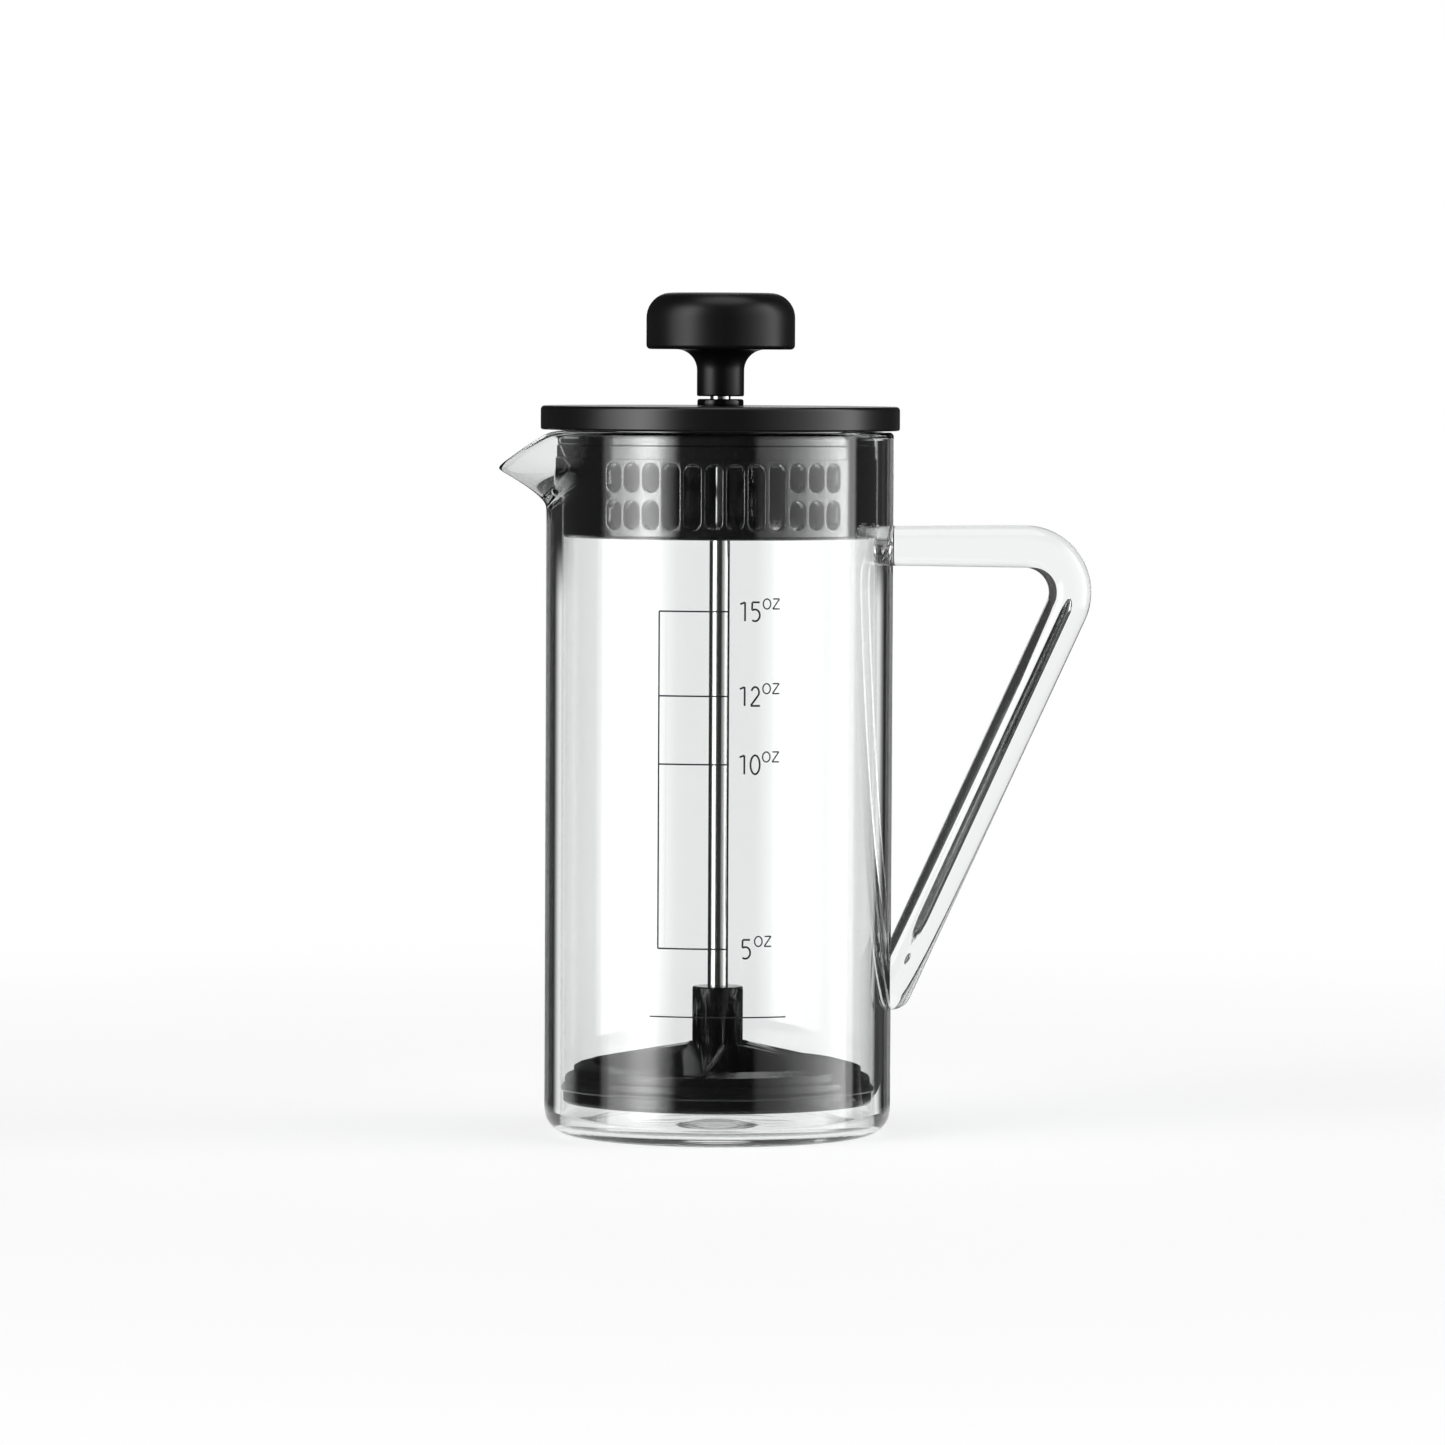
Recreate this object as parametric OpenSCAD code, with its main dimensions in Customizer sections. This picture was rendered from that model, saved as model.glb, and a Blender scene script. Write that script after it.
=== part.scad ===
// French press: a glass beaker with a glass rod handle, a lid with a pouring strainer, and a plunger.
// Millimetres, +Z up. The origin is the centre of the beaker's flat base.
// The spout points along -X, the handle along +X, and the strainer's slots face -Y.

/* [Beaker] */
// Outer diameter of the beaker
beaker_d = 78; // [72:0.5:86]
// Thickness of the beaker's wall
wall = 3.5; // [2.8:0.1:4.2]
// Height of the rim above the base
beaker_h = 158; // [150:1:175]
// Thickness of the floor
floor_t = 3.4; // [2.6:0.1:4.4]
// Radius of the corner between wall and base
base_r = 5.5; // [3:0.5:6.5]
// Radius of the corner between bore and floor
floor_r = 4; // [2:0.5:5]
// How far the rolled rim stands proud of the wall
rim_bead = 0.4; // [0.2:0.1:0.8]
// Diameter of the lens-shaped mark in the middle of the floor
dome_d = 19; // [12:1:24]
// Height of the lens-shaped mark
dome_h = 0.5; // [0.3:0.1:0.7]

/* [Spout] */
// How far the spout's tip stands out from the wall
spout_reach = 11.4; // [9:0.2:14]
// How far the spout's tip lies below the rim
spout_drop = 7.9; // [6.5:0.1:9]
// Height from the foot of the spout's keel to its tip
spout_rise = 9.2; // [8:0.2:11]
// Angle of the rim that the spout takes, to each side
spout_angle = 24; // [20:1:28]
// Thickness of the glass at the spout's tip
spout_wall = 2.2; // [1.8:0.1:2.8]
// Angle by which the spout's channel is narrower than its outside, at each side
channel_inset = 4; // [3:0.5:6]

/* [Handle] */
// Diameter of the handle's rod
handle_d = 9.6; // [8:0.1:11]
// Depth of the top bar's centre line below the rim
handle_drop = 25.5; // [22:0.5:34]
// Lean of the long bar from upright
handle_lean = 24.5; // [21:0.5:28]
// Bend radius of the rod's centre line
handle_bend = 10.3; // [8:0.1:13]
// Height of the centre of the rod's round lower end
handle_foot = 32.7; // [26:0.1:44]
// Width of the fused flare where the top bar meets the wall
handle_flare = 0.8; // [0.4:0.1:1.2]

/* [Lid] */
// How far the lid stands out past the beaker's wall
cap_overhang = 1.35; // [1:0.05:3]
// Thickness of the lid at its edge
cap_t = 5.4; // [4.8:0.1:7]
// Thickness of the lid's top plate
cap_plate = 2.4; // [1.8:0.1:3]
// Radius of the lid's upper edge
cap_edge = 0.9; // [0.4:0.1:1.5]
// Gap between the lid and the rim that it rests over
lid_seat = 0.3; // [0.2:0.05:0.5]
// Length of plug that shows between the lid and the strainer's collar
plug_h = 3.3; // [2.5:0.1:5]
// Gap between the plug and the bore
plug_gap = 0.8; // [0.5:0.1:1.2]
// Length of the plug's spigot inside the strainer
spigot_h = 4.5; // [3:0.5:6]
// Wall of the plug's spigot
spigot_t = 1.8; // [1.2:0.1:2.4]
// Diameter of the boss under the middle of the lid
boss_d = 14; // [12:0.5:18]
// Length of the boss below the lid's lower face
boss_h = 2.3; // [1.5:0.1:3]

/* [Strainer] */
// Gap between the strainer's skirt and the bore
skirt_gap = 0.3; // [0.3:0.05:0.8]
// Wall of the skirt
skirt_t = 2; // [1.6:0.1:2.6]
// Height of the skirt
skirt_h = 17.8; // [17:0.2:24]
// Height of the collar above the skirt
collar_h = 2.9; // [2:0.1:4]
// How far the collar is set back from the skirt's face
collar_step = 0.3; // [0.2:0.1:0.6]
// Width of one slot
slot_w = 3.6; // [2.8:0.1:3.8]
// Height of a long slot
slot_h = 14.5; // [12:0.5:14.5]
// Height of the bridge between two short slots
slot_bridge = 2; // [1.2:0.2:3]
// Height of the skirt below the slots
slot_sill = 2.3; // [1.6:0.1:2.4]
// Angle from one column of slots to the next
slot_pitch = 7.6; // [7.4:0.1:9]
// Columns of long slots in the middle of the window
long_slots = 6; // [2:2:8]
// Columns of short slots at each side of the window
short_slots = 3; // [1:1:4]
// Turn of the window from straight ahead
window_turn = 1.65; // [-10:0.05:10]

/* [Knob] */
// Diameter of the knob
knob_d = 33.4; // [26:0.2:40]
// Height of the knob's cap
knob_h = 12.7; // [12:0.1:18]
// Radius of the knob's upper edge
knob_edge = 5.6; // [3:0.2:7]
// Radius of the knob's lower edge
knob_rim = 1; // [0.5:0.1:1.5]
// Diameter of the knob's neck
knob_neck_d = 10.6; // [10:0.1:14]
// Height of the knob's neck
knob_neck_h = 10.5; // [8:0.1:16]
// Radius of the hollow between neck and cap
knob_fillet = 4.7; // [2:0.1:5]
// Gap between the pressed-down knob and the bush
knob_gap = 0.6; // [0.3:0.1:1]

/* [Rod and bush] */
// Diameter of the rod
rod_d = 4.6; // [4:0.1:5.2]
// Outer diameter of the rod's threaded ends
thread_d = 4; // [3:0.1:3.9]
// Length of each threaded end
thread_l = 12; // [8:1:14]
// Diameter of the brass inserts
insert_d = 7; // [6:0.1:7.4]
// Length of the brass inserts
insert_l = 10; // [6:0.5:11]
// How far the full rod goes into the knob and into the hub
rod_socket = 3; // [2:0.5:4]
// Diameter of the bush's flange
bush_d = 10.4; // [9:0.1:14]
// Thickness of the bush's flange
bush_flange = 1.6; // [1:0.1:2.5]
// Diameter of the bush's sleeve
sleeve_d = 7.2; // [6.6:0.1:8]
// Thickness of the spring ring under the boss
ring_clip_t = 0.8; // [0.6:0.1:1.2]
// Outer diameter of the spring ring
ring_clip_d = 10.4; // [9:0.1:12]
// Radial running clearance of a turning or sliding fit
fit = 0.05; // [0.03:0.01:0.08]

/* [Piston] */
// Gap between the floor and the piston's grid when the plunger is down
floor_gap = 4.1; // [4:0.1:8]
// Diameter of the hub
hub_d = 11.4; // [11:0.1:14]
// Height of the hub above the mesh
hub_h = 22.3; // [21:0.1:24]
// Gap all round between the piston's ring and the strainer's skirt, as the ring rises into it
nest_gap = 0.85; // [0.5:0.05:1.5]
// Width of the piston's ring
ring_w = 4.1; // [3:0.1:6]
// Height of the ring at its outer edge
ring_h = 4; // [3.6:0.1:6]
// Rise of the ring's top from its outer edge to its inner edge
ring_rise = 1; // [0:0.1:1.5]
// Height of the arms where they meet the hub
arm_root_h = 9.1; // [7:0.1:12]
// Wall of the arms
arm_t = 1.4; // [1:0.1:2]
// Number of arms
arm_count = 4; // [3:1:5]
// Turn of the arms from the X axis
arm_turn = -15.75; // [-45:0.25:45]

/* [Filter] */
// Thickness of the grid under the mesh
grid_t = 2.9; // [2.4:0.1:4]
// Radius of the grid's lower edge
grid_edge = 0.8; // [0.4:0.1:1.2]
// Gap between the grid's edge and the bore
grid_gap = 0.75; // [0.5:0.05:1.2]
// Width of one spoke of the grid
spoke_w = 3; // [2:0.2:4]
// Spokes of the grid for each arm of the piston
spokes_per_arm = 2; // [1:1:2]
// Diameter of the grid's boss
grid_boss_d = 16; // [14:0.5:20]
// Thickness of the mesh's steel rim
rim_t = 0.9; // [0.7:0.1:1.4]
// Width of the mesh's steel rim
rim_w = 1.3; // [1:0.1:2]
// Thickness of the woven mesh
mesh_t = 0.5; // [0.3:0.1:0.6]
// Gap between the seal's lip and the bore
lip_gap = 0.3; // [0.3:0.05:0.5]
// How far the seal's body stands out from the piston's ring
seal_w = 2.05; // [1.6:0.05:2.2]
// Height of the seal
seal_h = 3.1; // [2.6:0.1:3.8]
// Height of the widest line of the seal's lip above its foot
lip_rise = 0.6; // [0.4:0.1:1]
// Height of the seal's lip where it leaves the body
lip_root = 1.9; // [1.4:0.1:2.2]
// Diameter of the spigot below the hub
spigot_d = 7.2; // [6:0.1:7.6]
// Diameter of the clamp nut
nut_d = 14; // [12:0.5:18]
// Thickness of the clamp nut
nut_t = 2.4; // [2:0.1:3]
// Number of grip flutes round the nut
nut_flutes = 12; // [8:1:16]
// Radius of one grip flute
flute_r = 1; // [0.6:0.1:1.2]
// Depth of one grip flute
flute_depth = 0.7; // [0.4:0.1:0.9]

/* [Hidden] */
$fn = 96;
// Overlap of cutting shapes past the faces they cut
over = 1;
// Radius of small moulded edges
soft_edge = 0.5;

// Radii of the beaker
wall_r = beaker_d / 2;
bore_r = wall_r - wall;
bead_r = (wall + rim_bead) / 2;

// Heights of the lid, strainer and knob, from the rim upwards and downwards
cap_z = beaker_h + lid_seat;
cap_top = cap_z + cap_t;
recess_top = cap_top - cap_plate;
collar_top = cap_z - plug_h;
skirt_top = collar_top - collar_h;
skirt_z = skirt_top - skirt_h;
spigot_z = collar_top - spigot_h;
boss_z = cap_z - boss_h;
bush_top = cap_top + bush_flange;
neck_z = bush_top + knob_gap;
knob_z = neck_z + knob_neck_h;
knob_top = knob_z + knob_h;

// Radii of the lid and strainer
cap_r = wall_r + cap_overhang;
plug_r = bore_r - plug_gap;
skirt_r = bore_r - skirt_gap;
skirt_bore_r = skirt_r - skirt_t;
collar_r = skirt_r - collar_step;
plug_spigot_r = skirt_bore_r - fit;
sleeve_bore_r = rod_d / 2 + fit;
boss_bore_r = sleeve_d / 2 + fit;
short_slot_h = (slot_h - slot_bridge) / 2;

// Heights of the piston's stack, from the floor upwards
grid_z = floor_t + floor_gap;
grid_top = grid_z + grid_t;
mesh_top = grid_top + mesh_t;
frame_z = grid_top + rim_t;
ring_top = frame_z + ring_h;
hub_top = mesh_top + hub_h;
seal_top = grid_top + seal_h;

// Radii of the piston's stack
ring_r = skirt_bore_r - nest_gap;
ring_bore_r = ring_r - ring_w;
grid_r = bore_r - grid_gap;
seal_r = ring_r + seal_w;
lip_r = bore_r - lip_gap;
spigot_r = spigot_d / 2;
hub_r = hub_d / 2;

// Ends of the rod
rod_low = hub_top - rod_socket;
rod_high = neck_z + rod_socket;

// ---------- outlines that several pieces share ----------

// Material outside a round upper corner of radius r at (x, z)
module upper_corner(x, z, r) {
    difference() {
        translate([x - r, z - r]) square(r + over);
        translate([x - r, z - r]) circle(r = r);
    }
}

// Material outside a round lower corner of radius r at (x, z)
module lower_corner(x, z, r) {
    difference() {
        translate([x - r, z - over]) square([r + over, r + over]);
        translate([x - r, z + r]) circle(r = r);
    }
}

// Upright rectangle from radius r0 to r1 and from height z0 to z1
module slab(r0, r1, z0, z1) {
    translate([r0, z0]) square([r1 - r0, z1 - z0]);
}

// Tube about the Z axis
module tube(r0, r1, z0, z1) {
    rotate_extrude() slab(r0, r1, z0, z1);
}

// ---------- beaker ----------

// Foot of the spout's keel, its tip, and the outward run of the keel for each millimetre of height
keel_z = beaker_h - spout_drop - spout_rise;
tip_z = beaker_h - spout_drop;
keel_run = spout_reach / spout_rise;
// The glass gets thinner from the wall to the lip, so the channel starts higher and runs out faster
channel_z = keel_z + spout_wall / 2;
channel_lip = spout_wall * sqrt(1 + keel_run * keel_run);
channel_run = (spout_reach + wall - channel_lip) / (tip_z - channel_z);
channel_angle = spout_angle - channel_inset;
// How deep the spout's solids reach into the wall
bite = wall / 3;
// Where the dipping rim of the spout leaves the level rim, and its slope
dip_x = wall_r * cos(spout_angle);
dip_slope = spout_drop / (wall_r + spout_reach - dip_x);
spout_slices = 8;
spout_points = 14;
// Bluntness of the spout's nose: 0 is a knife edge
nose = 0.28;
// Width of the beak's foot, as a share of its full width
foot_share = 0.12;

// Height of a pinched beak above its sides, from 0 at u = -1 and u = 1 to 1 at u = 0
function beak(u) = (sqrt(1 + nose * nose) - sqrt(u * u + nose * nose)) / (sqrt(1 + nose * nose) - nose);

// One level slice of a beak that starts at radius from_r and reaches out to keel_r, in the -X direction
function beak_slice(from_r, keel_r, half_angle, z) = [
    for (j = [0 : spout_points])
        let (u = 2 * j / spout_points - 1, r = from_r + (keel_r - from_r) * beak(u), a = 180 + half_angle * u)
            [r * cos(a), r * sin(a), z]
];

// Solid beak between two heights. The keel is at radius start_r at height start_z and runs outwards by run
module beak_solid(from_r, start_r, start_z, run, half_angle, low_z, high_z) {
    slices = [
        for (i = [0 : spout_slices])
            let (z = low_z + (high_z - low_z) * i / spout_slices,
                 opening = half_angle * max(foot_share, (z - low_z) / (beaker_h - low_z)))
                beak_slice(from_r, start_r + (z - start_z) * run, opening, z)
    ];
    n = spout_points + 1;
    sides = [
        for (i = [0 : spout_slices - 1], j = [0 : n - 1])
            let (a = i * n + j, b = i * n + (j + 1) % n)
                each [[a, b + n, b], [a, a + n, b + n]]
    ];
    bottom = [for (j = [1 : n - 2]) [0, j, j + 1]];
    last = spout_slices * n;
    top = [for (j = [1 : n - 2]) [last, last + j + 1, last + j]];
    polyhedron(points = [for (s = slices, p = s) p], faces = concat(sides, bottom, top));
}

// Everything above the spout's dipping rim
module spout_dip() {
    far = wall_r + keel_run * (beaker_h + 3 * over - keel_z);
    near = dip_x - 5 * over;
    rotate([90, 0, 0])
        linear_extrude(height = 2 * wall_r, center = true)
            polygon([
                [-near, beaker_h + dip_slope * (dip_x - near)],
                [-far, beaker_h + dip_slope * (dip_x - near)],
                [-far, beaker_h - dip_slope * (far - dip_x)]
            ]);
}

// Lens-shaped mark that rises from the floor: the top of a large sphere, as an outline
module floor_dome() {
    dome_r = (dome_d * dome_d / 4 + dome_h * dome_h) / (2 * dome_h);
    translate([0, floor_t + dome_h - dome_r]) circle(r = dome_r);
}

module glass_beaker() {
    color([0.86, 0.92, 0.93, 0.35]) {
        difference() {
            union() {
                rotate_extrude() {
                    difference() {
                        slab(0, wall_r, 0, beaker_h - bead_r);
                        lower_corner(wall_r, 0, base_r);
                    }
                    translate([bore_r + bead_r, beaker_h - bead_r]) circle(r = bead_r);
                }
                beak_solid(bore_r + wall / 2, wall_r, keel_z, keel_run, spout_angle,
                           keel_z - bite, beaker_h - bead_r);
            }
            rotate_extrude()
                difference() {
                    slab(0, bore_r, floor_t, beaker_h + 3 * over);
                    lower_corner(bore_r, floor_t, floor_r);
                    floor_dome();
                }
            beak_solid(bore_r - bite, bore_r, channel_z, channel_run, channel_angle,
                       channel_z, beaker_h + 3 * over);
            spout_dip();
        }
    }
}

// ---------- handle ----------

bar_z = beaker_h - handle_drop;
bar_turn = 90 + handle_lean;
corner_x = wall_r + (bar_z - handle_foot) * tan(handle_lean);
bend_x = corner_x - handle_bend * tan(bar_turn / 2);
bend_z = bar_z - handle_bend;
long_bar = (bar_z - handle_foot) / cos(handle_lean) - handle_bend * tan(bar_turn / 2);

// Rod with one round end, as one outline turned about its axis: flat end at the origin, round end below
module round_ended_rod(d, length) {
    rotate_extrude()
        intersection() {
            union() {
                slab(0, d / 2, -length, 0);
                translate([0, -length]) circle(d = d);
            }
            slab(0, d, -length - d, 0);
        }
}

module glass_handle() {
    color([0.86, 0.92, 0.93, 0.35])
        difference() {
            union() {
                translate([bore_r, 0, bar_z]) rotate([0, 90, 0])
                    cylinder(d = handle_d, h = bend_x - bore_r);
                translate([bore_r, 0, bar_z]) rotate([0, 90, 0])
                    cylinder(d1 = handle_d + 2 * handle_flare + wall, d2 = handle_d, h = wall + 2 * handle_flare);
                translate([bend_x, 0, bend_z]) rotate([90, 0, 0]) rotate([0, 0, 90])
                    rotate_extrude(angle = -bar_turn) translate([handle_bend, 0]) circle(d = handle_d);
                translate([bend_x, 0, bend_z]) rotate([0, handle_lean, 0]) translate([handle_bend, 0, 0])
                    rotate([0, 0, 180]) round_ended_rod(handle_d, long_bar);
            }
            cylinder(r = wall_r, h = beaker_h);
        }
}

// ---------- lid ----------

module lid_cap() {
    color([0.07, 0.07, 0.07])
        rotate_extrude()
            difference() {
                union() {
                    slab(boss_bore_r, cap_r, cap_z, cap_top);
                    slab(boss_bore_r, boss_d / 2, boss_z, cap_top);
                    slab(plug_spigot_r - spigot_t, plug_r, collar_top, cap_top - cap_plate / 2);
                    slab(plug_spigot_r - spigot_t, plug_spigot_r, spigot_z, cap_z);
                }
                slab(boss_d / 2, plug_spigot_r - spigot_t, cap_z - over, recess_top);
                upper_corner(cap_r, cap_top, cap_edge);
                lower_corner(cap_r, cap_z, cap_edge / 2);
            }
}

// ---------- strainer ----------

// Outline of a slot with round ends, centred on the origin and standing along Y
module slot_outline(height) {
    square([slot_w, height - slot_w], center = true);
    for (side = [-1, 1])
        translate([0, side * (height - slot_w) / 2]) circle(d = slot_w);
}

// Slot cut through the skirt at an angle from the window's middle, centred at a height
module slot_cut(angle, z, height) {
    rotate([0, 0, angle + window_turn]) translate([0, -skirt_bore_r + over, z]) rotate([90, 0, 0])
        linear_extrude(height = skirt_t + 2 * over) slot_outline(height);
}

module strainer_skirt() {
    slot_middle = skirt_z + slot_sill + slot_h / 2;
    short_offset = (slot_bridge + short_slot_h) / 2;
    columns = long_slots + 2 * short_slots;
    color([0.05, 0.05, 0.05])
        difference() {
            union() {
                tube(skirt_bore_r, skirt_r, skirt_z, skirt_top);
                tube(skirt_bore_r, collar_r, skirt_top, collar_top);
            }
            for (i = [0 : columns - 1]) {
                angle = (i - (columns - 1) / 2) * slot_pitch;
                if (i < short_slots || i >= columns - short_slots) {
                    slot_cut(angle, slot_middle + short_offset, short_slot_h);
                    slot_cut(angle, slot_middle - short_offset, short_slot_h);
                } else {
                    slot_cut(angle, slot_middle, slot_h);
                }
            }
        }
}

// ---------- bush ----------

module rod_bush() {
    color([0.08, 0.08, 0.08])
        rotate_extrude()
            difference() {
                union() {
                    slab(sleeve_bore_r, sleeve_d / 2, boss_z - 2 * ring_clip_t, bush_top);
                    slab(sleeve_bore_r, bush_d / 2, cap_top + fit, bush_top);
                }
                upper_corner(bush_d / 2, bush_top, bush_flange / 3);
                clip_groove();
            }
}

// Groove of the spring ring, round the bush's sleeve
module clip_groove() {
    slab(sleeve_d / 2 - ring_clip_t / 2, sleeve_d, boss_z - ring_clip_t - fit, boss_z - fit);
}

module bush_ring() {
    color([0.6, 0.6, 0.62])
        tube(sleeve_d / 2 - ring_clip_t / 2, ring_clip_d / 2, boss_z - ring_clip_t - fit, boss_z - fit);
}

// ---------- knob ----------

module knob() {
    color([0.06, 0.06, 0.06])
        rotate_extrude()
            difference() {
                union() {
                    slab(0, knob_d / 2, knob_z, knob_top);
                    slab(0, knob_neck_d / 2, neck_z, knob_z + over);
                    difference() {
                        slab(0, knob_neck_d / 2 + knob_fillet, knob_z - knob_fillet, knob_z + over);
                        translate([knob_neck_d / 2 + knob_fillet, knob_z - knob_fillet])
                            circle(r = knob_fillet);
                    }
                }
                upper_corner(knob_d / 2, knob_top, knob_edge);
                lower_corner(knob_d / 2, knob_z, knob_rim);
                slab(0, rod_d / 2 + fit, neck_z - over, rod_high);
                slab(0, insert_d / 2, rod_high, rod_high + insert_l);
                slab(0, thread_d / 2 + fit, rod_high, rod_high + thread_l + over);
            }
}

module knob_insert() {
    color([0.75, 0.6, 0.3])
        tube(thread_d / 2 + fit, insert_d / 2, rod_high, rod_high + insert_l);
}

// ---------- rod ----------

module plunger_rod() {
    color([0.8, 0.8, 0.82]) {
        rotate_extrude() {
            slab(0, rod_d / 2, rod_low, rod_high);
            slab(0, thread_d / 2, rod_low - thread_l, rod_high + thread_l);
        }
    }
}

// ---------- piston ----------

// Side view of an arm, from the hub out over the ring, from its foot up to drop below its top
module arm_outline(near_r, far_r, foot_z, drop) {
    crest_z = ring_top + ring_rise - drop;
    root_z = frame_z + arm_root_h - drop;
    slope = (root_z - crest_z) / (ring_bore_r - hub_r);
    polygon([
        [near_r, foot_z],
        [far_r, foot_z],
        [far_r, crest_z - slope * (far_r - ring_bore_r)],
        [near_r, root_z + slope * (hub_r - near_r)]
    ]);
}

// Part of an arm, cut from its outline to a width
module arm_part(width, near_r, far_r, foot_z, drop) {
    rotate([90, 0, 0])
        linear_extrude(height = width, center = true)
            arm_outline(near_r, far_r, foot_z, drop);
}

module arms() {
    for (k = [0 : arm_count - 1])
        rotate([0, 0, arm_turn + k * 360 / arm_count])
            difference() {
                arm_part(hub_d, hub_r / 2, ring_r - ring_w / 3, frame_z, 0);
                arm_part(hub_d - 2 * arm_t, 0, ring_bore_r - arm_t, frame_z - over, arm_t);
            }
}

module piston_frame() {
    color([0.07, 0.07, 0.07])
        difference() {
            union() {
                arms();
                rotate_extrude() {
                    polygon([
                        [ring_bore_r, frame_z],
                        [ring_r, frame_z],
                        [ring_r, ring_top],
                        [ring_bore_r, ring_top + ring_rise]
                    ]);
                    difference() {
                        slab(0, hub_r, mesh_top, hub_top);
                        upper_corner(hub_r, hub_top, soft_edge);
                    }
                    slab(0, spigot_r, grid_z - nut_t, mesh_top + over);
                }
            }
            rotate_extrude() {
                slab(0, rod_d / 2 + fit, rod_low, hub_top + over);
                slab(0, insert_d / 2, rod_low - insert_l, rod_low);
                slab(0, thread_d / 2 + fit, rod_low - thread_l - over, rod_low);
            }
        }
}

module hub_insert() {
    color([0.75, 0.6, 0.3])
        tube(thread_d / 2 + fit, insert_d / 2, rod_low - insert_l, rod_low);
}

// ---------- filter ----------

module lip_seal() {
    color([0.05, 0.05, 0.05])
        rotate_extrude()
            difference() {
                union() {
                    slab(ring_r, seal_r, grid_top, seal_top);
                    polygon([
                        [seal_r - soft_edge, grid_top + fit],
                        [lip_r - lip_rise / 3, grid_top + fit],
                        [lip_r, grid_top + lip_rise / 2],
                        [lip_r, grid_top + lip_rise],
                        [seal_r - soft_edge, grid_top + lip_root]
                    ]);
                }
                upper_corner(seal_r, seal_top, soft_edge);
            }
}

module mesh_rim() {
    color([0.6, 0.6, 0.62])
        tube(ring_r - rim_w, ring_r, grid_top, frame_z);
}

module filter_mesh() {
    color([0.65, 0.65, 0.67])
        tube(spigot_r + fit, ring_r - rim_w, grid_top, mesh_top);
}

module base_grid() {
    spokes = arm_count * spokes_per_arm;
    color([0.07, 0.07, 0.07])
        union() {
            rotate_extrude() {
                difference() {
                    slab(ring_bore_r, grid_r, grid_z, grid_top);
                    lower_corner(grid_r, grid_z, grid_edge);
                }
                slab(spigot_r + fit, grid_boss_d / 2, grid_z, grid_top);
            }
            for (k = [0 : spokes - 1])
                rotate([0, 0, arm_turn + k * 360 / spokes])
                    translate([grid_boss_d / 2 - over, -spoke_w / 2, grid_z])
                        cube([ring_bore_r - grid_boss_d / 2 + 2 * over, spoke_w, grid_t]);
        }
}

module clamp_nut() {
    color([0.07, 0.07, 0.07])
        difference() {
            tube(spigot_r + fit, nut_d / 2, grid_z - nut_t, grid_z);
            for (k = [0 : nut_flutes - 1])
                rotate([0, 0, k * 360 / nut_flutes])
                    translate([nut_d / 2 + flute_r - flute_depth, 0, grid_z - nut_t - over])
                        cylinder(r = flute_r, h = nut_t + 2 * over);
        }
}

glass_beaker();
glass_handle();
lid_cap();
strainer_skirt();
rod_bush();
bush_ring();
knob();
knob_insert();
plunger_rod();
piston_frame();
hub_insert();
lip_seal();
filter_mesh();
mesh_rim();
base_grid();
clamp_nut();
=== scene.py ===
# %% [markdown]
# # A french press, piece by piece
#
# The object is a coffee maker: a borosilicate beaker with a glass rod for a handle, a black lid with a
# pouring strainer under it, and a plunger that carries a woven filter down a polished rod. The sizes come
# from a packed construction model. It is loaded first and never moved, and every piece below is built around
# it, in metres, with the base of the beaker on the floor and the spout towards -X.

# %% Load the frame
import math
import bpy
import bmesh
import numpy as np
from mathutils import Matrix, Vector


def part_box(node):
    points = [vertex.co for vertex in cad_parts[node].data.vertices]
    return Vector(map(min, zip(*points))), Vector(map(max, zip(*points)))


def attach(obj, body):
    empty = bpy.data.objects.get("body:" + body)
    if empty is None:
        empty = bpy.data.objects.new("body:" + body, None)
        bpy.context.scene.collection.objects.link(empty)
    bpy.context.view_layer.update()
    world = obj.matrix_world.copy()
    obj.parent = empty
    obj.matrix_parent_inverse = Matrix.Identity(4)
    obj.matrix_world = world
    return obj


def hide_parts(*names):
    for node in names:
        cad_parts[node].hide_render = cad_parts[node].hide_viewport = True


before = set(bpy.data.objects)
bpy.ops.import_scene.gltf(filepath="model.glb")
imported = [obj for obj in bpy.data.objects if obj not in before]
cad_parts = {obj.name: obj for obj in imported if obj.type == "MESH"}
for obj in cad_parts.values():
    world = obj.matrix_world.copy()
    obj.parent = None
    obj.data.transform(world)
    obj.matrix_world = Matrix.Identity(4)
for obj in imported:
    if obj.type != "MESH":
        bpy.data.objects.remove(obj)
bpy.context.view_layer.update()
MM = 0.001
print("frame:", sorted(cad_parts))

# %% [markdown]
# ## Numbers that several pieces share
#
# A lathe-turned or moulded part is known by a few radii and heights. Those of the black and steel parts are
# measured on the frame instead of being typed again, and the glass has four of its own: wall, bore, rim and
# floor. Everything below is in millimetres until it goes into a mesh.

# %% Measure the frame
def low_high(node):
    """Lowest and highest corner of a node of the frame, in millimetres."""
    low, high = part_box(node)
    return np.array(low) / MM, np.array(high) / MM


WALL_R = 39.0
BORE_R = 35.5
RIM_Z = 158.0
FLOOR_Z = 2.7
cap_low, cap_high = low_high("lid_cap")
skirt_low, skirt_high = low_high("strainer_skirt")
rod_low, rod_high = low_high("plunger_rod")
grid_low, grid_high = low_high("base_grid")
ring_low, ring_high = low_high("mesh_rim")
knob_low, knob_high = low_high("knob")
bush_low, bush_high = low_high("rod_bush")
print("lid", cap_low, cap_high, "knob", knob_low, knob_high)

# %% [markdown]
# ## The camera
#
# A product picture of this kind is taken with a long lens from far away, so the upright lines stay upright. A
# lens of about 190 mm, 1.7 m away and a little above the lid, gives the flat, slightly raised view. The small
# roll is what a hand-set tripod leaves.

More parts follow.
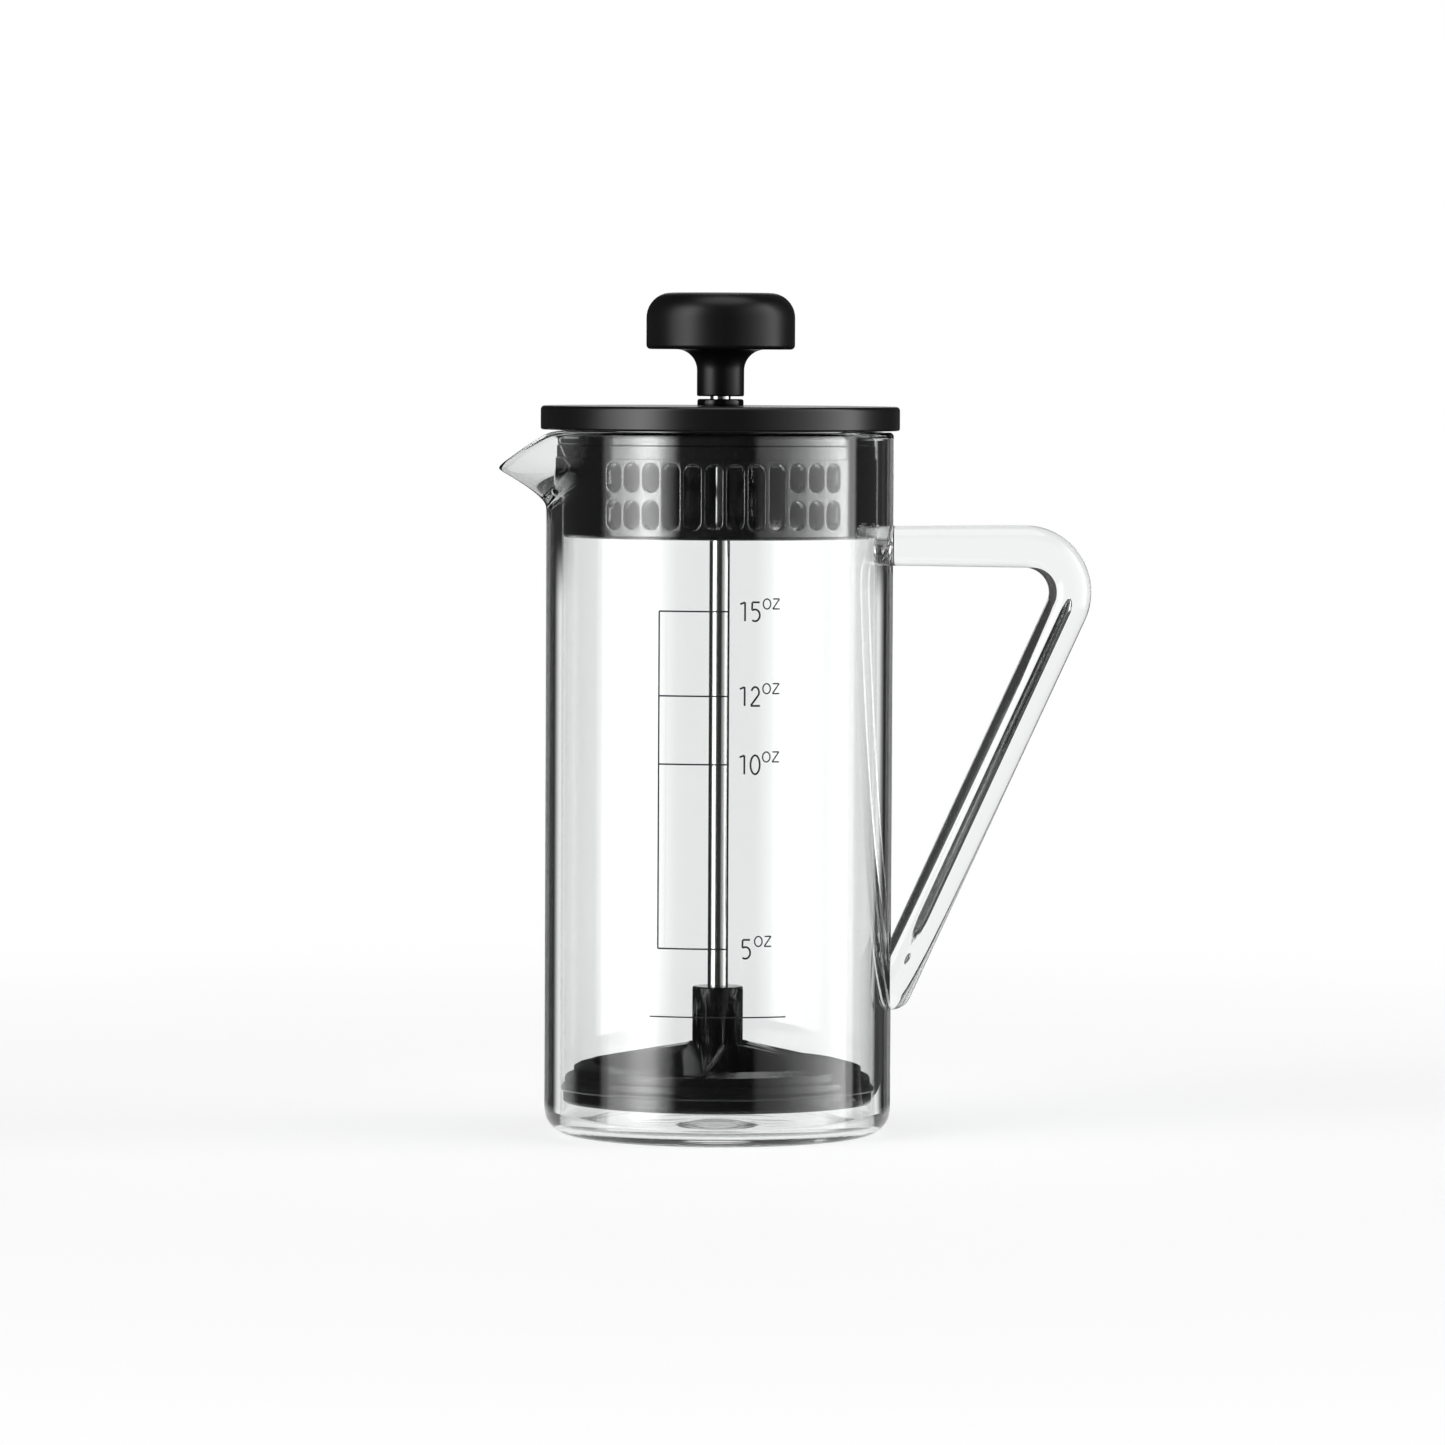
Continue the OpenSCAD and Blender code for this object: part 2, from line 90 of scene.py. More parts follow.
# %% Camera
camera = bpy.data.objects.new("camera", bpy.data.cameras.new("camera"))
bpy.context.scene.collection.objects.link(camera)
camera.data.lens = 189.34
camera.data.clip_end = 30
CAMERA_AT = Vector((0.0008, -1.7085, 0.1752))
PITCH = math.radians(2.77)
ROLL = math.radians(0.27)
camera.location = CAMERA_AT
camera.rotation_mode = "XYZ"
camera.rotation_euler = (Vector((0, math.cos(PITCH), -math.sin(PITCH))).to_track_quat("-Z", "Y").to_matrix()
                         @ Matrix.Rotation(ROLL, 3, "Z")).to_euler()
bpy.context.scene.camera = camera
bpy.context.scene.view_settings.view_transform = "Standard"
# Light runs along inside a thick glass wall by many mirror bounces, so more of them are allowed
bpy.context.scene.cycles.max_bounces = 32
bpy.context.scene.cycles.glossy_bounces = 32
bpy.context.scene.cycles.transmission_bounces = 32
print("camera at", tuple(camera.location))

# %% [markdown]
# ## Tools for materials
#
# Colours are written as the hex codes a designer would pick, and shaders want linear light, so one function
# turns them. Another adds a node with its settings and its links in one line, and a third starts a finish
# from the constants of its shader.

# %% Colour and node tools
def linear(code):
    """Linear colour of an sRGB hex code: c/12.92 below 0.04045, else ((c + 0.055)/1.055)^2.4."""
    c = np.array([int(code[i:i + 2], 16) for i in (1, 3, 5)]) / 255
    return (*np.where(c <= 0.04045, c / 12.92, ((c + 0.055) / 1.055) ** 2.4), 1.0)


def add(tree, kind, settings=(), links=()):
    """Adds a node, whose full kind is ShaderNode and the word given. settings are its own properties; links are
    its inputs, each a socket or a plain value."""
    node = tree.nodes.new("ShaderNode" + kind)
    for name, value in dict(settings).items():
        setattr(node, name, value)
    for name, value in dict(links).items():
        if isinstance(value, bpy.types.NodeSocket):
            tree.links.new(value, node.inputs[name])
        else:
            node.inputs[name].default_value = value
    return node


def finish_of(name, shader):
    """A new material whose Principled shader has the constants given: itself, its node tree and its shader."""
    made = bpy.data.materials.new(name)
    made.use_nodes = True
    tree = made.node_tree
    tree.nodes.clear()
    surface = add(tree, "BsdfPrincipled", links=shader)
    add(tree, "OutputMaterial", links={"Surface": surface.outputs[0]})
    return made, tree, surface

# %% [markdown]
# ## The studio
#
# Black gloss shows nothing but what stands round it. The real one stood between two tall soft boxes: a strong
# one on the left, and a wide one on the right that gets brighter towards the back. The world paints them by
# compass direction, since they are far away. What looks straight at the backdrop, or through the glass at it,
# sees plain white; mirror-like paths, also those that bounce inside the glass wall, see the boxes and the
# dark room between them.
#
# Clear glass is drawn by its edges, where light leaves it far to the side or downwards. So two faint glows
# are added for rays that have been in glass: one from below, and a pair of wings just under the horizon. Both
# lie behind the table. No real lamp lights glass alone: they were set by trial for the front view, and seen
# from elsewhere the edges of the glass are only roughly right.

# %% The world
# Compass direction seen from the object, in degrees from the camera's side, towards +X, and how bright it is
STUDIO = [(-180, 1.0), (-175.5, 1.0), (-174, 0.02), (-85, 0.04), (-81, 1.9), (-68, 2.6), (-54, 5.3),
          (-45, 4.4), (-38, 1.9), (-29, 0.06), (24, 0.03), (27, 0.30), (46, 0.65), (64, 1.5), (84, 3.1),
          (94, 3.9), (100, 3.6), (103, 0.05), (156, 0.02), (158, 0.15), (161, 0.15), (163, 0.02),
          (174, 0.02), (175.5, 1.0)]
TOP_LEVEL = 6.0
BELOW_LEVEL, WINGS_LEVEL = 0.8, 1.0
# A glow is shut at the first value of a pair and fully open at the second: turns in degrees, heights as sines
BELOW_HEIGHT, BELOW_TURN = (-0.16, -0.32), (100, 135)
WINGS_TURN, WINGS_HEIGHT = [(112, 124), (153, 141)], [(-0.024, -0.034), (-0.18, -0.14)]
# A ray that went into the glass and out again has passed two of its surfaces
ONE_WALL = 2.0
world = bpy.data.worlds.new("studio")
bpy.context.scene.world = world
world.use_nodes = True
sky = world.node_tree
sky.nodes.clear()
ray = add(sky, "TexCoord").outputs["Generated"]
part = add(sky, "SeparateXYZ", links={0: ray}).outputs
toward = add(sky, "Math", {"operation": "MULTIPLY"}, {0: part["Y"], 1: -1.0}).outputs[0]
compass = add(sky, "Math", {"operation": "ARCTAN2"}, {0: part["X"], 1: toward}).outputs[0]
share = add(sky, "MapRange", {"interpolation_type": "LINEAR"},
            {"Value": compass, "From Min": -math.pi, "From Max": math.pi}).outputs[0]
boxes = add(sky, "ValToRGB", links={"Fac": share})
stops = boxes.color_ramp.elements
stops.remove(stops[1])
for turn_at, level in STUDIO:
    stop = stops[0] if turn_at == STUDIO[0][0] else stops.new((turn_at + 180) / 360)
    stop.position = (turn_at + 180) / 360
    stop.color = (*[level / TOP_LEVEL] * 3, 1)
height = add(sky, "ValToRGB", links={"Fac": add(
    sky, "MapRange", links={"Value": part["Z"], "From Min": -1.0, "From Max": 1.0}).outputs[0]})
rungs = height.color_ramp.elements
rungs.remove(rungs[1])
for sine, level in [(-1, 0.0), (-0.3, 0.0), (-0.2, 1.0), (0.62, 1.0), (0.8, 0.12), (1, 0.1)]:
    rung = rungs[0] if sine == -1 else rungs.new((sine + 1) / 2)
    rung.color = (level, level, level, 1)
glow = add(sky, "MixRGB", {"blend_type": "MULTIPLY"},
           {"Fac": 1.0, "Color1": boxes.outputs[0], "Color2": height.outputs[0]}).outputs[0]
print("soft boxes:", len(STUDIO), "directions")

# %% The glows that only the glass shows, and the white backdrop
path = add(sky, "LightPath").outputs
depth = path["Transmission Depth"]
below = add(sky, "MapRange", {"interpolation_type": "SMOOTHSTEP"},
            {"Value": part["Z"], "From Min": BELOW_HEIGHT[0], "From Max": BELOW_HEIGHT[1],
             "To Max": BELOW_LEVEL / TOP_LEVEL}).outputs[0]
in_glass = add(sky, "Math", {"operation": "GREATER_THAN"}, {0: depth, 1: 0.5}).outputs[0]
aside = add(sky, "Math", {"operation": "ABSOLUTE"}, {0: compass}).outputs[0]
behind = add(sky, "MapRange", {"interpolation_type": "SMOOTHSTEP"},
             {"Value": aside, "From Min": math.radians(BELOW_TURN[0]),
              "From Max": math.radians(BELOW_TURN[1])}).outputs[0]
for gate in (in_glass, behind):
    below = add(sky, "Math", {"operation": "MULTIPLY"}, {0: below, 1: gate}).outputs[0]
glow = add(sky, "MixRGB", {"blend_type": "ADD"}, {"Fac": 1.0, "Color1": glow, "Color2": below}).outputs[0]

wings = add(sky, "Math", {"operation": "COMPARE"}, {0: depth, 1: ONE_WALL, 2: 0.5}).outputs[0]
gates = [(aside, math.radians(shut), math.radians(opened)) for shut, opened in WINGS_TURN]
for value, shut, opened in gates + [(part["Z"], *pair) for pair in WINGS_HEIGHT]:
    gate = add(sky, "MapRange", {"interpolation_type": "SMOOTHSTEP"},
               {"Value": value, "From Min": shut, "From Max": opened}).outputs[0]
    wings = add(sky, "Math", {"operation": "MULTIPLY"}, {0: wings, 1: gate}).outputs[0]
wings = add(sky, "Math", {"operation": "MULTIPLY"}, {0: wings, 1: WINGS_LEVEL / TOP_LEVEL}).outputs[0]
glow = add(sky, "MixRGB", {"blend_type": "ADD"}, {"Fac": 1.0, "Color1": glow, "Color2": wings}).outputs[0]

unmirrored = add(sky, "Math", {"operation": "LESS_THAN"}, {0: path["Glossy Depth"], 1: 0.5}).outputs[0]
through = add(sky, "Math", {"operation": "MULTIPLY"}, {
    0: path["Is Transmission Ray"], 1: unmirrored}).outputs[0]
backdrop = add(sky, "Math", {"operation": "MAXIMUM"}, {0: path["Is Camera Ray"], 1: through}).outputs[0]
studio = add(sky, "Background", links={"Color": glow, "Strength": TOP_LEVEL}).outputs[0]
white = add(sky, "Background", links={"Color": (1, 1, 1, 1), "Strength": 1.0}).outputs[0]
seen = add(sky, "MixShader", links={0: backdrop, 1: studio, 2: white}).outputs[0]
add(sky, "OutputWorld", links={"Surface": seen})
print("studio:", len(sky.nodes), "nodes")

# %% [markdown]
# The floor is a white table. Most of its brightness is its own, so it stays white to the camera, and the rest
# comes from the lamp and the studio, so the beaker still leaves its soft shadow. Mirrors see it only close to
# the base, where it lights the foot of the glass. Further out they look past it, because a black part would
# show a white floor that the real studio kept out of the reflections.

# %% The floor
def grid_faces(rows, columns, wrap_rows=False, wrap_columns=False):
    """Quads of a grid of points: (i, j), (i, j+1), (i+1, j+1), (i+1, j), going round where it wraps."""
    i, j = np.meshgrid(np.arange(rows - (not wrap_rows)), np.arange(columns - (not wrap_columns)),
                       indexing="ij")
    ahead, across = (i + 1) % rows, (j + 1) % columns
    return np.stack([i * columns + j, i * columns + across, ahead * columns + across, ahead * columns + j],
                    axis=-1).reshape(-1, 4)


FLOOR_RINGS, FLOOR_SIDES = [0.0, 60, 200, 800, 1500], 64
OWN_GLOW, TABLE_GREY = 0.66, 0.42
# Distances from the axis in metres: the table turns into plain backdrop, and mirrors stop seeing it
TO_BACKDROP, OUT_OF_MIRRORS = (0.18, 0.60), (0.055, 0.090)
angle, reach = np.meshgrid(np.linspace(0, 2 * np.pi, FLOOR_SIDES + 1)[:-1], np.array(FLOOR_RINGS))
floor_points = np.stack([reach * np.cos(angle), reach * np.sin(angle), 0 * reach], -1).reshape(-1, 3) * MM
floor_faces = grid_faces(len(FLOOR_RINGS), FLOOR_SIDES, wrap_columns=True)[:, ::-1]
floor_mesh = bpy.data.meshes.new("floor")
floor_mesh.from_pydata(floor_points.tolist(), [], floor_faces.tolist())
floor = bpy.data.objects.new("floor", floor_mesh)
bpy.context.scene.collection.objects.link(floor)
floor.location.z = -0.02 * MM

# White laminate: its own glow and a dull grey that takes the shadow
table = bpy.data.materials.new("white_table")
table.use_nodes = True
tree = table.node_tree
tree.nodes.clear()
place_on = add(tree, "TexCoord").outputs["Object"]
reach_of = add(tree, "VectorMath", {"operation": "LENGTH"}, {0: place_on}).outputs["Value"]
far, past = [add(tree, "MapRange", {"interpolation_type": "SMOOTHSTEP"},
                 {"Value": reach_of, "From Min": first, "From Max": last}).outputs[0]
             for first, last in (TO_BACKDROP, OUT_OF_MIRRORS)]
own = add(tree, "Emission", links={"Color": (1, 1, 1, 1), "Strength": OWN_GLOW}).outputs[0]
lit = add(tree, "BsdfDiffuse", links={"Color": (TABLE_GREY, TABLE_GREY, TABLE_GREY, 1)}).outputs[0]
near = add(tree, "AddShader", links={0: own, 1: lit}).outputs[0]
plain = add(tree, "Emission", links={"Color": (1, 1, 1, 1), "Strength": 1.0}).outputs[0]
whole = add(tree, "MixShader", links={0: far, 1: near, 2: plain}).outputs[0]
bounces = add(tree, "LightPath").outputs["Glossy Depth"]
unseen = add(tree, "Math", {"operation": "MULTIPLY", "use_clamp": True}, {0: bounces, 1: past}).outputs[0]
open_air = add(tree, "BsdfTransparent").outputs[0]
whole = add(tree, "MixShader", links={0: unseen, 1: whole, 2: open_air}).outputs[0]
add(tree, "OutputMaterial", links={"Surface": whole})
floor_mesh.materials.append(table)
print("floor", FLOOR_RINGS[-1], "mm")

# %% [markdown]
# Two felt flags stand for the dark side of the studio behind and to the right: one lies on the table and one
# stands. They give the glass rod its dark streaks, which is how clear glass is made to show on white. Only
# rays that have passed one wall of glass meet them, and the standing one only rays that met no mirror before,
# so black gloss and the shadow stay as they are. A real flag can't choose its rays: like the glows, this is a
# liberty taken for the front view.

# %% The flags and the lamp
LYING = [(95, 20, 1), (480, 200, 1), (480, 430, 1), (260, 480, 1), (95, 110, 1)]
STANDING = [(310, 430, 0), (540, 155, 0), (540, 155, 1300), (310, 430, 1300)]
for name, corners, after_mirror in [("lying_flag", LYING, True), ("standing_flag", STANDING, False)]:
    flag_mesh = bpy.data.meshes.new(name)
    flag_mesh.from_pydata((np.array(corners, float) * MM).tolist(), [], [list(range(len(corners)))])
    flag = bpy.data.objects.new(name, flag_mesh)
    bpy.context.scene.collection.objects.link(flag)
    flag.visible_camera = flag.visible_diffuse = flag.visible_glossy = flag.visible_shadow = False
    # Pressed wool felt: dull, dark grey
    felt, tree, shader = finish_of(name + "_felt", {"Base Color": linear("#505050"), "Roughness": 1.0,
                                                    "Specular IOR Level": 0.0})
    path = add(tree, "LightPath").outputs
    seen = add(tree, "Math", {"operation": "COMPARE"}, {
        0: path["Transmission Depth"], 1: ONE_WALL, 2: 0.5}).outputs[0]
    if not after_mirror:
        plain = add(tree, "Math", {"operation": "LESS_THAN"}, {0: path["Glossy Depth"], 1: 0.5}).outputs[0]
        seen = add(tree, "Math", {"operation": "MULTIPLY"}, {0: seen, 1: plain}).outputs[0]
    open_air = add(tree, "BsdfTransparent").outputs[0]
    mixed = add(tree, "MixShader", links={0: seen, 1: open_air, 2: shader.outputs[0]}).outputs[0]
    tree.links.new(mixed, tree.nodes["Material Output"].inputs["Surface"])
    flag_mesh.materials.append(felt)

lamp = bpy.data.objects.new("overhead", bpy.data.lights.new("overhead", "AREA"))
bpy.context.scene.collection.objects.link(lamp)
lamp.data.shape, lamp.data.size = "DISK", 1.1
lamp.data.energy = 5.0
lamp.location = (0.1, -0.1, 1.5)
lamp.visible_transmission = False
print("2 flags, overhead lamp", lamp.data.energy, "W")

# %% [markdown]
# ## Tools for turned and swept shapes
#
# Nearly every part here was made by turning: the beaker on a glass lathe, the knob, lid and seal in round
# moulds. So the main tool is a profile with rounded corners, carried round the axis. A mould never leaves a
# knife edge, and the small radius is what catches a line of light on black plastic.

# %% Profiles and pieces
def rounded(corners, steps=6):
    """Closed outline whose corners (radius, height, fillet) are arcs. An arc of radius f touches both sides at
    f / tan(half the corner's angle), and its points are weighted sums of the two end spokes, by sines."""
    corners = np.array(corners, float)
    here, fillet = corners[:, :2], corners[:, 2:]
    back, ahead = np.roll(here, 1, 0) - here, np.roll(here, -1, 0) - here
    back /= np.linalg.norm(back, axis=1, keepdims=True)
    ahead /= np.linalg.norm(ahead, axis=1, keepdims=True)
    half = np.arccos(np.clip((back * ahead).sum(1, keepdims=True), -1, 1)) / 2
    middle = (back + ahead) / np.linalg.norm(back + ahead, axis=1, keepdims=True)
    centre = here + middle * fillet / np.sin(half)
    first, last = here + back * fillet / np.tan(half) - centre, here + ahead * fillet / np.tan(half) - centre
    sweep = np.pi - 2 * half
    t = np.linspace(0, 1, steps + 1)[:, None, None]
    arc = centre + (np.sin((1 - t) * sweep) * first + np.sin(t * sweep) * last) / np.sin(sweep)
    return arc.transpose(1, 0, 2).reshape(-1, 2)


def turned(outline, columns=192):
    """Surface of revolution: a point (r, z) of the outline at the angle a is (r cos a, r sin a, z)."""
    a = np.arange(columns) * 2 * np.pi / columns
    r, z = outline[:, :1], outline[:, 1:]
    return np.stack([r * np.cos(a), r * np.sin(a), z + 0 * a], -1)


def into_mesh(name, points, faces, merge=0.002):
    """Points in millimetres and their faces as a closed mesh: doubles merged, which closes seams and poles, and
    faces turned outwards."""
    mesh = bpy.data.meshes.new(name)
    mesh.from_pydata((np.asarray(points).reshape(-1, 3) * MM).tolist(), [], np.asarray(faces).tolist())
    work = bmesh.new()
    work.from_mesh(mesh)
    bmesh.ops.remove_doubles(work, verts=work.verts, dist=merge * MM)
    bmesh.ops.dissolve_degenerate(work, edges=work.edges, dist=merge * MM * 0.1)
    bmesh.ops.recalc_face_normals(work, faces=work.faces)
    work.to_mesh(mesh)
    work.free()
    mesh.shade_smooth()
    return mesh


def place(name, mesh, finish, body, stands_for=(), even=True):
    """Puts a mesh in the scene as a piece that rides on a body. Even shading lets each large face keep its own
    direction, so only the small radii bend the light."""
    piece = bpy.data.objects.new(name, mesh)
    bpy.context.scene.collection.objects.link(piece)
    mesh.materials.clear()
    mesh.materials.append(finish)
    if even:
        normals = piece.modifiers.new("even_normals", "WEIGHTED_NORMAL")
        normals.keep_sharp = True
    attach(piece, body)
    if stands_for:
        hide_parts(*stands_for)
    print(name, len(mesh.vertices), "points", len(mesh.polygons), "faces")
    return piece


def turned_mesh(name, corners, columns=192, steps=6):
    """Mesh of a rounded outline turned about the axis."""
    points = turned(rounded(corners, steps), columns)
    return into_mesh(name, points, grid_faces(len(points), columns, True, True))


def joined(parts):
    """Grids of points, each with its faces, as one list of points and one of faces: each grid's faces count on
    from the points before it."""
    before = np.cumsum([0] + [points.size // 3 for points, _ in parts])
    return (np.concatenate([points.reshape(-1, 3) for points, _ in parts]),
            np.concatenate([faces + first for (_, faces), first in zip(parts, before)]))


print("points of a square ring's outline:", len(rounded([(9, 0, 1), (9, 5, 1), (5, 5, 1), (5, 0, 1)])))

# %% [markdown]
# ## The glass
#
# Beakers are drawn from borosilicate tube: the floor is closed, the rim is melted round, and the spout is
# pulled out with a carbon rod while the rim is soft. The surface is worked out from two parameters, a place
# on the profile and an angle. The profile has two small radii at the rim, and a dome with a shallow dimple
# under it in the middle of the floor. The spout is then a shift of that surface: a pouch with two straight
# sides and a blunt nose, which leans out from a narrow foot, pulls the rim down, and thins the glass where it
# was stretched.

# %% The beaker's surface
RIM_OUT_R, RIM_IN_R = 1.0, 1.5
FOOT_Z = 141.2
TIP_Z = 149.7
SPOUT_REACH = 12.0
NOSE = 0.05
RIM_DROP, LEAN_POWER, THINNING, THIN_POWER = 0.72, 1.4, 0.45, 0.7


def soft_above(x, softness):
    """Smooth version of max(x, 0): half of x plus the root of x squared plus the softness squared."""
    return (x + np.sqrt(x * x + softness * softness)) / 2


def beak(reach, a):
    """How far the spout stands out at the angle a, where its nose stands out by reach. Its two sides are
    straight lines that touch the round wall: with t the angle whose cosine is wall / (wall + reach), the line's
    radius is wall / cos(t - a). The nose is blunt: a is replaced by the root of a squared plus NOSE squared."""
    t = np.arccos(WALL_R / (WALL_R + reach)) + NOSE
    return WALL_R / np.cos(np.clip(t - np.hypot(a, NOSE), 0, None)) - WALL_R


def pulled(points):
    """The spout's shift. The rim drops by RIM_DROP times how far it leans out, and the heights above the foot
    shrink to fit. The nose's reach grows with the share of the way from the foot to the tip, to the power
    LEAN_POWER, and the glass thins by up to THINNING where it was pulled."""
    x, y, z = points[..., 0], points[..., 1], points[..., 2]
    radius, a = np.hypot(x, y), np.arctan2(y, -x)
    rim_out = (WALL_R + beak(SPOUT_REACH, a)) * np.cos(a) - WALL_R
    rim_z = RIM_Z - RIM_DROP * np.maximum(soft_above(rim_out - 0.2, 2.0) - 0.27, 0)
    low, neck = FOOT_Z - 4, RIM_Z - 2.5
    new_z = z - (RIM_Z - rim_z) * np.clip((z - low) / (neck - low), 0, 1)
    share = (soft_above(new_z - FOOT_Z, 0.9) - soft_above(new_z - TIP_Z, 0.9)) / (TIP_Z - FOOT_Z)
    share = np.clip(share, 0, 1) * (z > low) * (radius > BORE_R - 1.5)
    lean = beak(SPOUT_REACH * share ** LEAN_POWER, a)
    thin = 1 - THINNING * np.clip(lean / SPOUT_REACH, 0, 1) ** THIN_POWER
    new_r = WALL_R - (WALL_R - radius) * thin + lean
    return np.stack([-new_r * np.cos(a), new_r * np.sin(a), new_z], -1)


print("spout from", FOOT_Z, "to", TIP_Z, "mm, reach", SPOUT_REACH)

# %% Where the handle was fused on
# There, at the angle 0, the bore swells a little, and little enough for the seal to pass. Each swell has its
# height and half height, its half width in degrees, and its depth
SWELLS = [(130.6, 5.0, 10.0, 0.15), (38.5, 10.5, 9.0, 0.15)]


def swollen(points):
    """Bore points move inwards by swell times the squared cosine of their distance from a swell's middle."""
    x, y, z = points[..., 0], points[..., 1], points[..., 2]
    radius, a = np.hypot(x, y), np.degrees(np.arctan2(y, x))
    inner = abs(radius - BORE_R) < 0.01
    for middle, half_height, half_width, swell in SWELLS:
        off = np.clip(np.hypot((z - middle) / half_height, a / half_width), 0, 1)
        radius = np.where(inner, radius - swell * np.cos(off * np.pi / 2) ** 2, radius)
    return np.stack([radius * np.cos(np.radians(a)), radius * np.sin(np.radians(a)), z], -1)


print("bore", BORE_R, "mm, swells", [swell[-1] for swell in SWELLS])

# %% The profile, carried round
def arc_points(centre, radius, first, last, count):
    """Points of an arc from one angle to another, in degrees."""
    a = np.radians(np.linspace(first, last, count))
    return np.stack([centre[0] + radius * np.cos(a), centre[1] + radius * np.sin(a)], 1)


def upright(radius, first, last, count):
    """Points of a straight wall."""
    return np.stack([np.full(count, radius), np.linspace(first, last, count)], 1)


BASE_R, FLOOR_EDGE_R, DOME_R, DOME_H, DIMPLE_H = 5.5, 1.6, 9.4, 0.8, 0.6
dome = np.linspace(0, DOME_R, 10)[::-1]
profile = np.concatenate([
    np.stack([dome[::-1], DIMPLE_H * (1 - (dome[::-1] / DOME_R) ** 2)], 1),
    np.array([[20, 0.0], [28, 0.0], [31, 0.0]]),
    arc_points((WALL_R - BASE_R, BASE_R), BASE_R, -90, 0, 12),
    upright(WALL_R, 8, 132, 12),
    upright(WALL_R, 134, RIM_Z - RIM_OUT_R - 0.3, 60),
    arc_points((WALL_R - RIM_OUT_R, RIM_Z - RIM_OUT_R), RIM_OUT_R, 0, 90, 10),
    arc_points((BORE_R + RIM_IN_R, RIM_Z - RIM_IN_R), RIM_IN_R, 90, 180, 12),
    upright(BORE_R, RIM_Z - RIM_IN_R - 0.3, 134, 50),
    upright(BORE_R, 132, 122, 14),
    upright(BORE_R, 110, 52, 4),
    upright(BORE_R, 50, 26, 22),
    upright(BORE_R, 22, 6, 3),
    arc_points((BORE_R - FLOOR_EDGE_R, FLOOR_Z + FLOOR_EDGE_R), FLOOR_EDGE_R, 0, -90, 11),
    np.array([[28, FLOOR_Z], [20, FLOOR_Z], [12, FLOOR_Z]]),
    np.stack([dome, FLOOR_Z + DOME_H * (1 - (dome / DOME_R) ** 2)], 1)])
# A line every 2 degrees, every half degree round the spout, and every degree where the handle is fused on
around = np.concatenate([np.arange(-180, -44, 2.0), np.arange(-44, 44, 0.5), np.arange(44, 180, 2.0)])
beside_handle = np.arange(-12, 12, 1.0)
around = np.unique(np.concatenate([around, (beside_handle + 360) % 360 - 180]).round(6))
a = np.radians(around)[None, :]
beaker_points = np.stack([-profile[:, :1] * np.cos(a), profile[:, :1] * np.sin(a),
                          profile[:, 1:] + 0 * a], -1)
beaker_points = pulled(swollen(beaker_points))
beaker_mesh = into_mesh("beaker_glass", beaker_points, grid_faces(len(profile), len(around), True, True))
print("beaker profile", len(profile), "x", len(around), "angles")

# %% [markdown]
# The handle is one solid rod, bent once in the flame. Its flat end is fused square onto the wall, with a very
# small flare where the soft glass flowed, and its round lower end is pressed against the wall. A fine bore
# runs down the long part, left from the rod's own drawing, and ends in a point near the foot, above one last
# bubble.

# %% The handle's rod
ROD_R = 4.8
ROD_END_R = 37.2
SLIM, FLARE, FLARE_END, FLARE_W = 0.35, 0.3, 39.9, 1.4
BAR_Z = 132.5
LEAN = math.radians(24.5)
BEND_R = 10.3
BEND_X, BEND_Z = 68.5, 122.2
FOOT = np.array([39.0, 32.7])
DOWN = np.array([-math.sin(LEAN), -math.cos(LEAN)])
ROD_SIDES = 64


def swept(centres, across, radii, columns):
    """Tube about a path in the XZ plane: centre + radius (cos b across + sin b Y), b going round."""
    b = np.arange(columns) * 2 * np.pi / columns
    x = centres[:, :1] + radii[:, None] * np.cos(b) * across[:, :1]
    z = centres[:, 1:] + radii[:, None] * np.cos(b) * across[:, 1:]
    return np.stack([x, radii[:, None] * np.sin(b) + 0 * x, z], -1)


# Stations along the bar, close together where it is fused to the wall
bar = np.array([ROD_END_R, 38.2, 38.6, 38.8, 39.0, 39.15, 39.3, 39.5, 39.7, 40.0, 40.4, 40.9, 41.5, 43, 48, 54,
                60, 66])
turn = np.linspace(0, math.radians(90) + LEAN, 30)
bend_end = np.array([BEND_X, BEND_Z]) + BEND_R * np.array([math.sin(turn[-1]), math.cos(turn[-1])])
long_part = np.linspace(0.02, 1, 14)[:, None]
cap = np.linspace(0, np.pi / 2, 12)[1:]
centres = np.concatenate([
    np.stack([bar, np.full(len(bar), BAR_Z)], 1),
    np.array([BEND_X, BEND_Z]) + BEND_R * np.stack([np.sin(turn), np.cos(turn)], 1),
    bend_end + (FOOT - bend_end) * long_part,
    FOOT + ROD_R * np.sin(cap)[:, None] * DOWN])
lean_of = np.concatenate([np.zeros(len(bar)), turn, np.full(len(long_part) + len(cap), turn[-1])])
across = np.stack([np.sin(lean_of), np.cos(lean_of)], 1)
# The bar is slimmer at the wall by SLIM, and its flare is a quarter of a circle, stretched
flow = np.clip((FLARE_END - bar) / FLARE_W, 0, 1)
radii = np.concatenate([ROD_R - SLIM + FLARE * (1 - np.sqrt(1 - flow ** 2)) + SLIM * (bar - ROD_END_R) / 30,
                        np.full(len(turn) + len(long_part), ROD_R), ROD_R * np.cos(cap)])
rod_points = swept(centres, across, radii, ROD_SIDES)
# No point of the rod comes nearer to the beaker's axis than about the middle of its wall
spoke = np.hypot(rod_points[..., 0], rod_points[..., 1])
pushed = np.maximum(spoke, ROD_END_R) / np.maximum(spoke, 1e-6)
rod_points[..., 0] *= pushed
rod_points[..., 1] *= pushed
rod_points = np.concatenate([rod_points[:1] * 0 + rod_points[:1].mean((0, 1)), rod_points,
                             rod_points[-1:] * 0 + rod_points[-1:].mean((0, 1))])
handle_mesh = into_mesh("handle_glass", rod_points, grid_faces(len(rod_points), ROD_SIDES, False, True))
print("rod", len(rod_points), "rings of", ROD_SIDES)

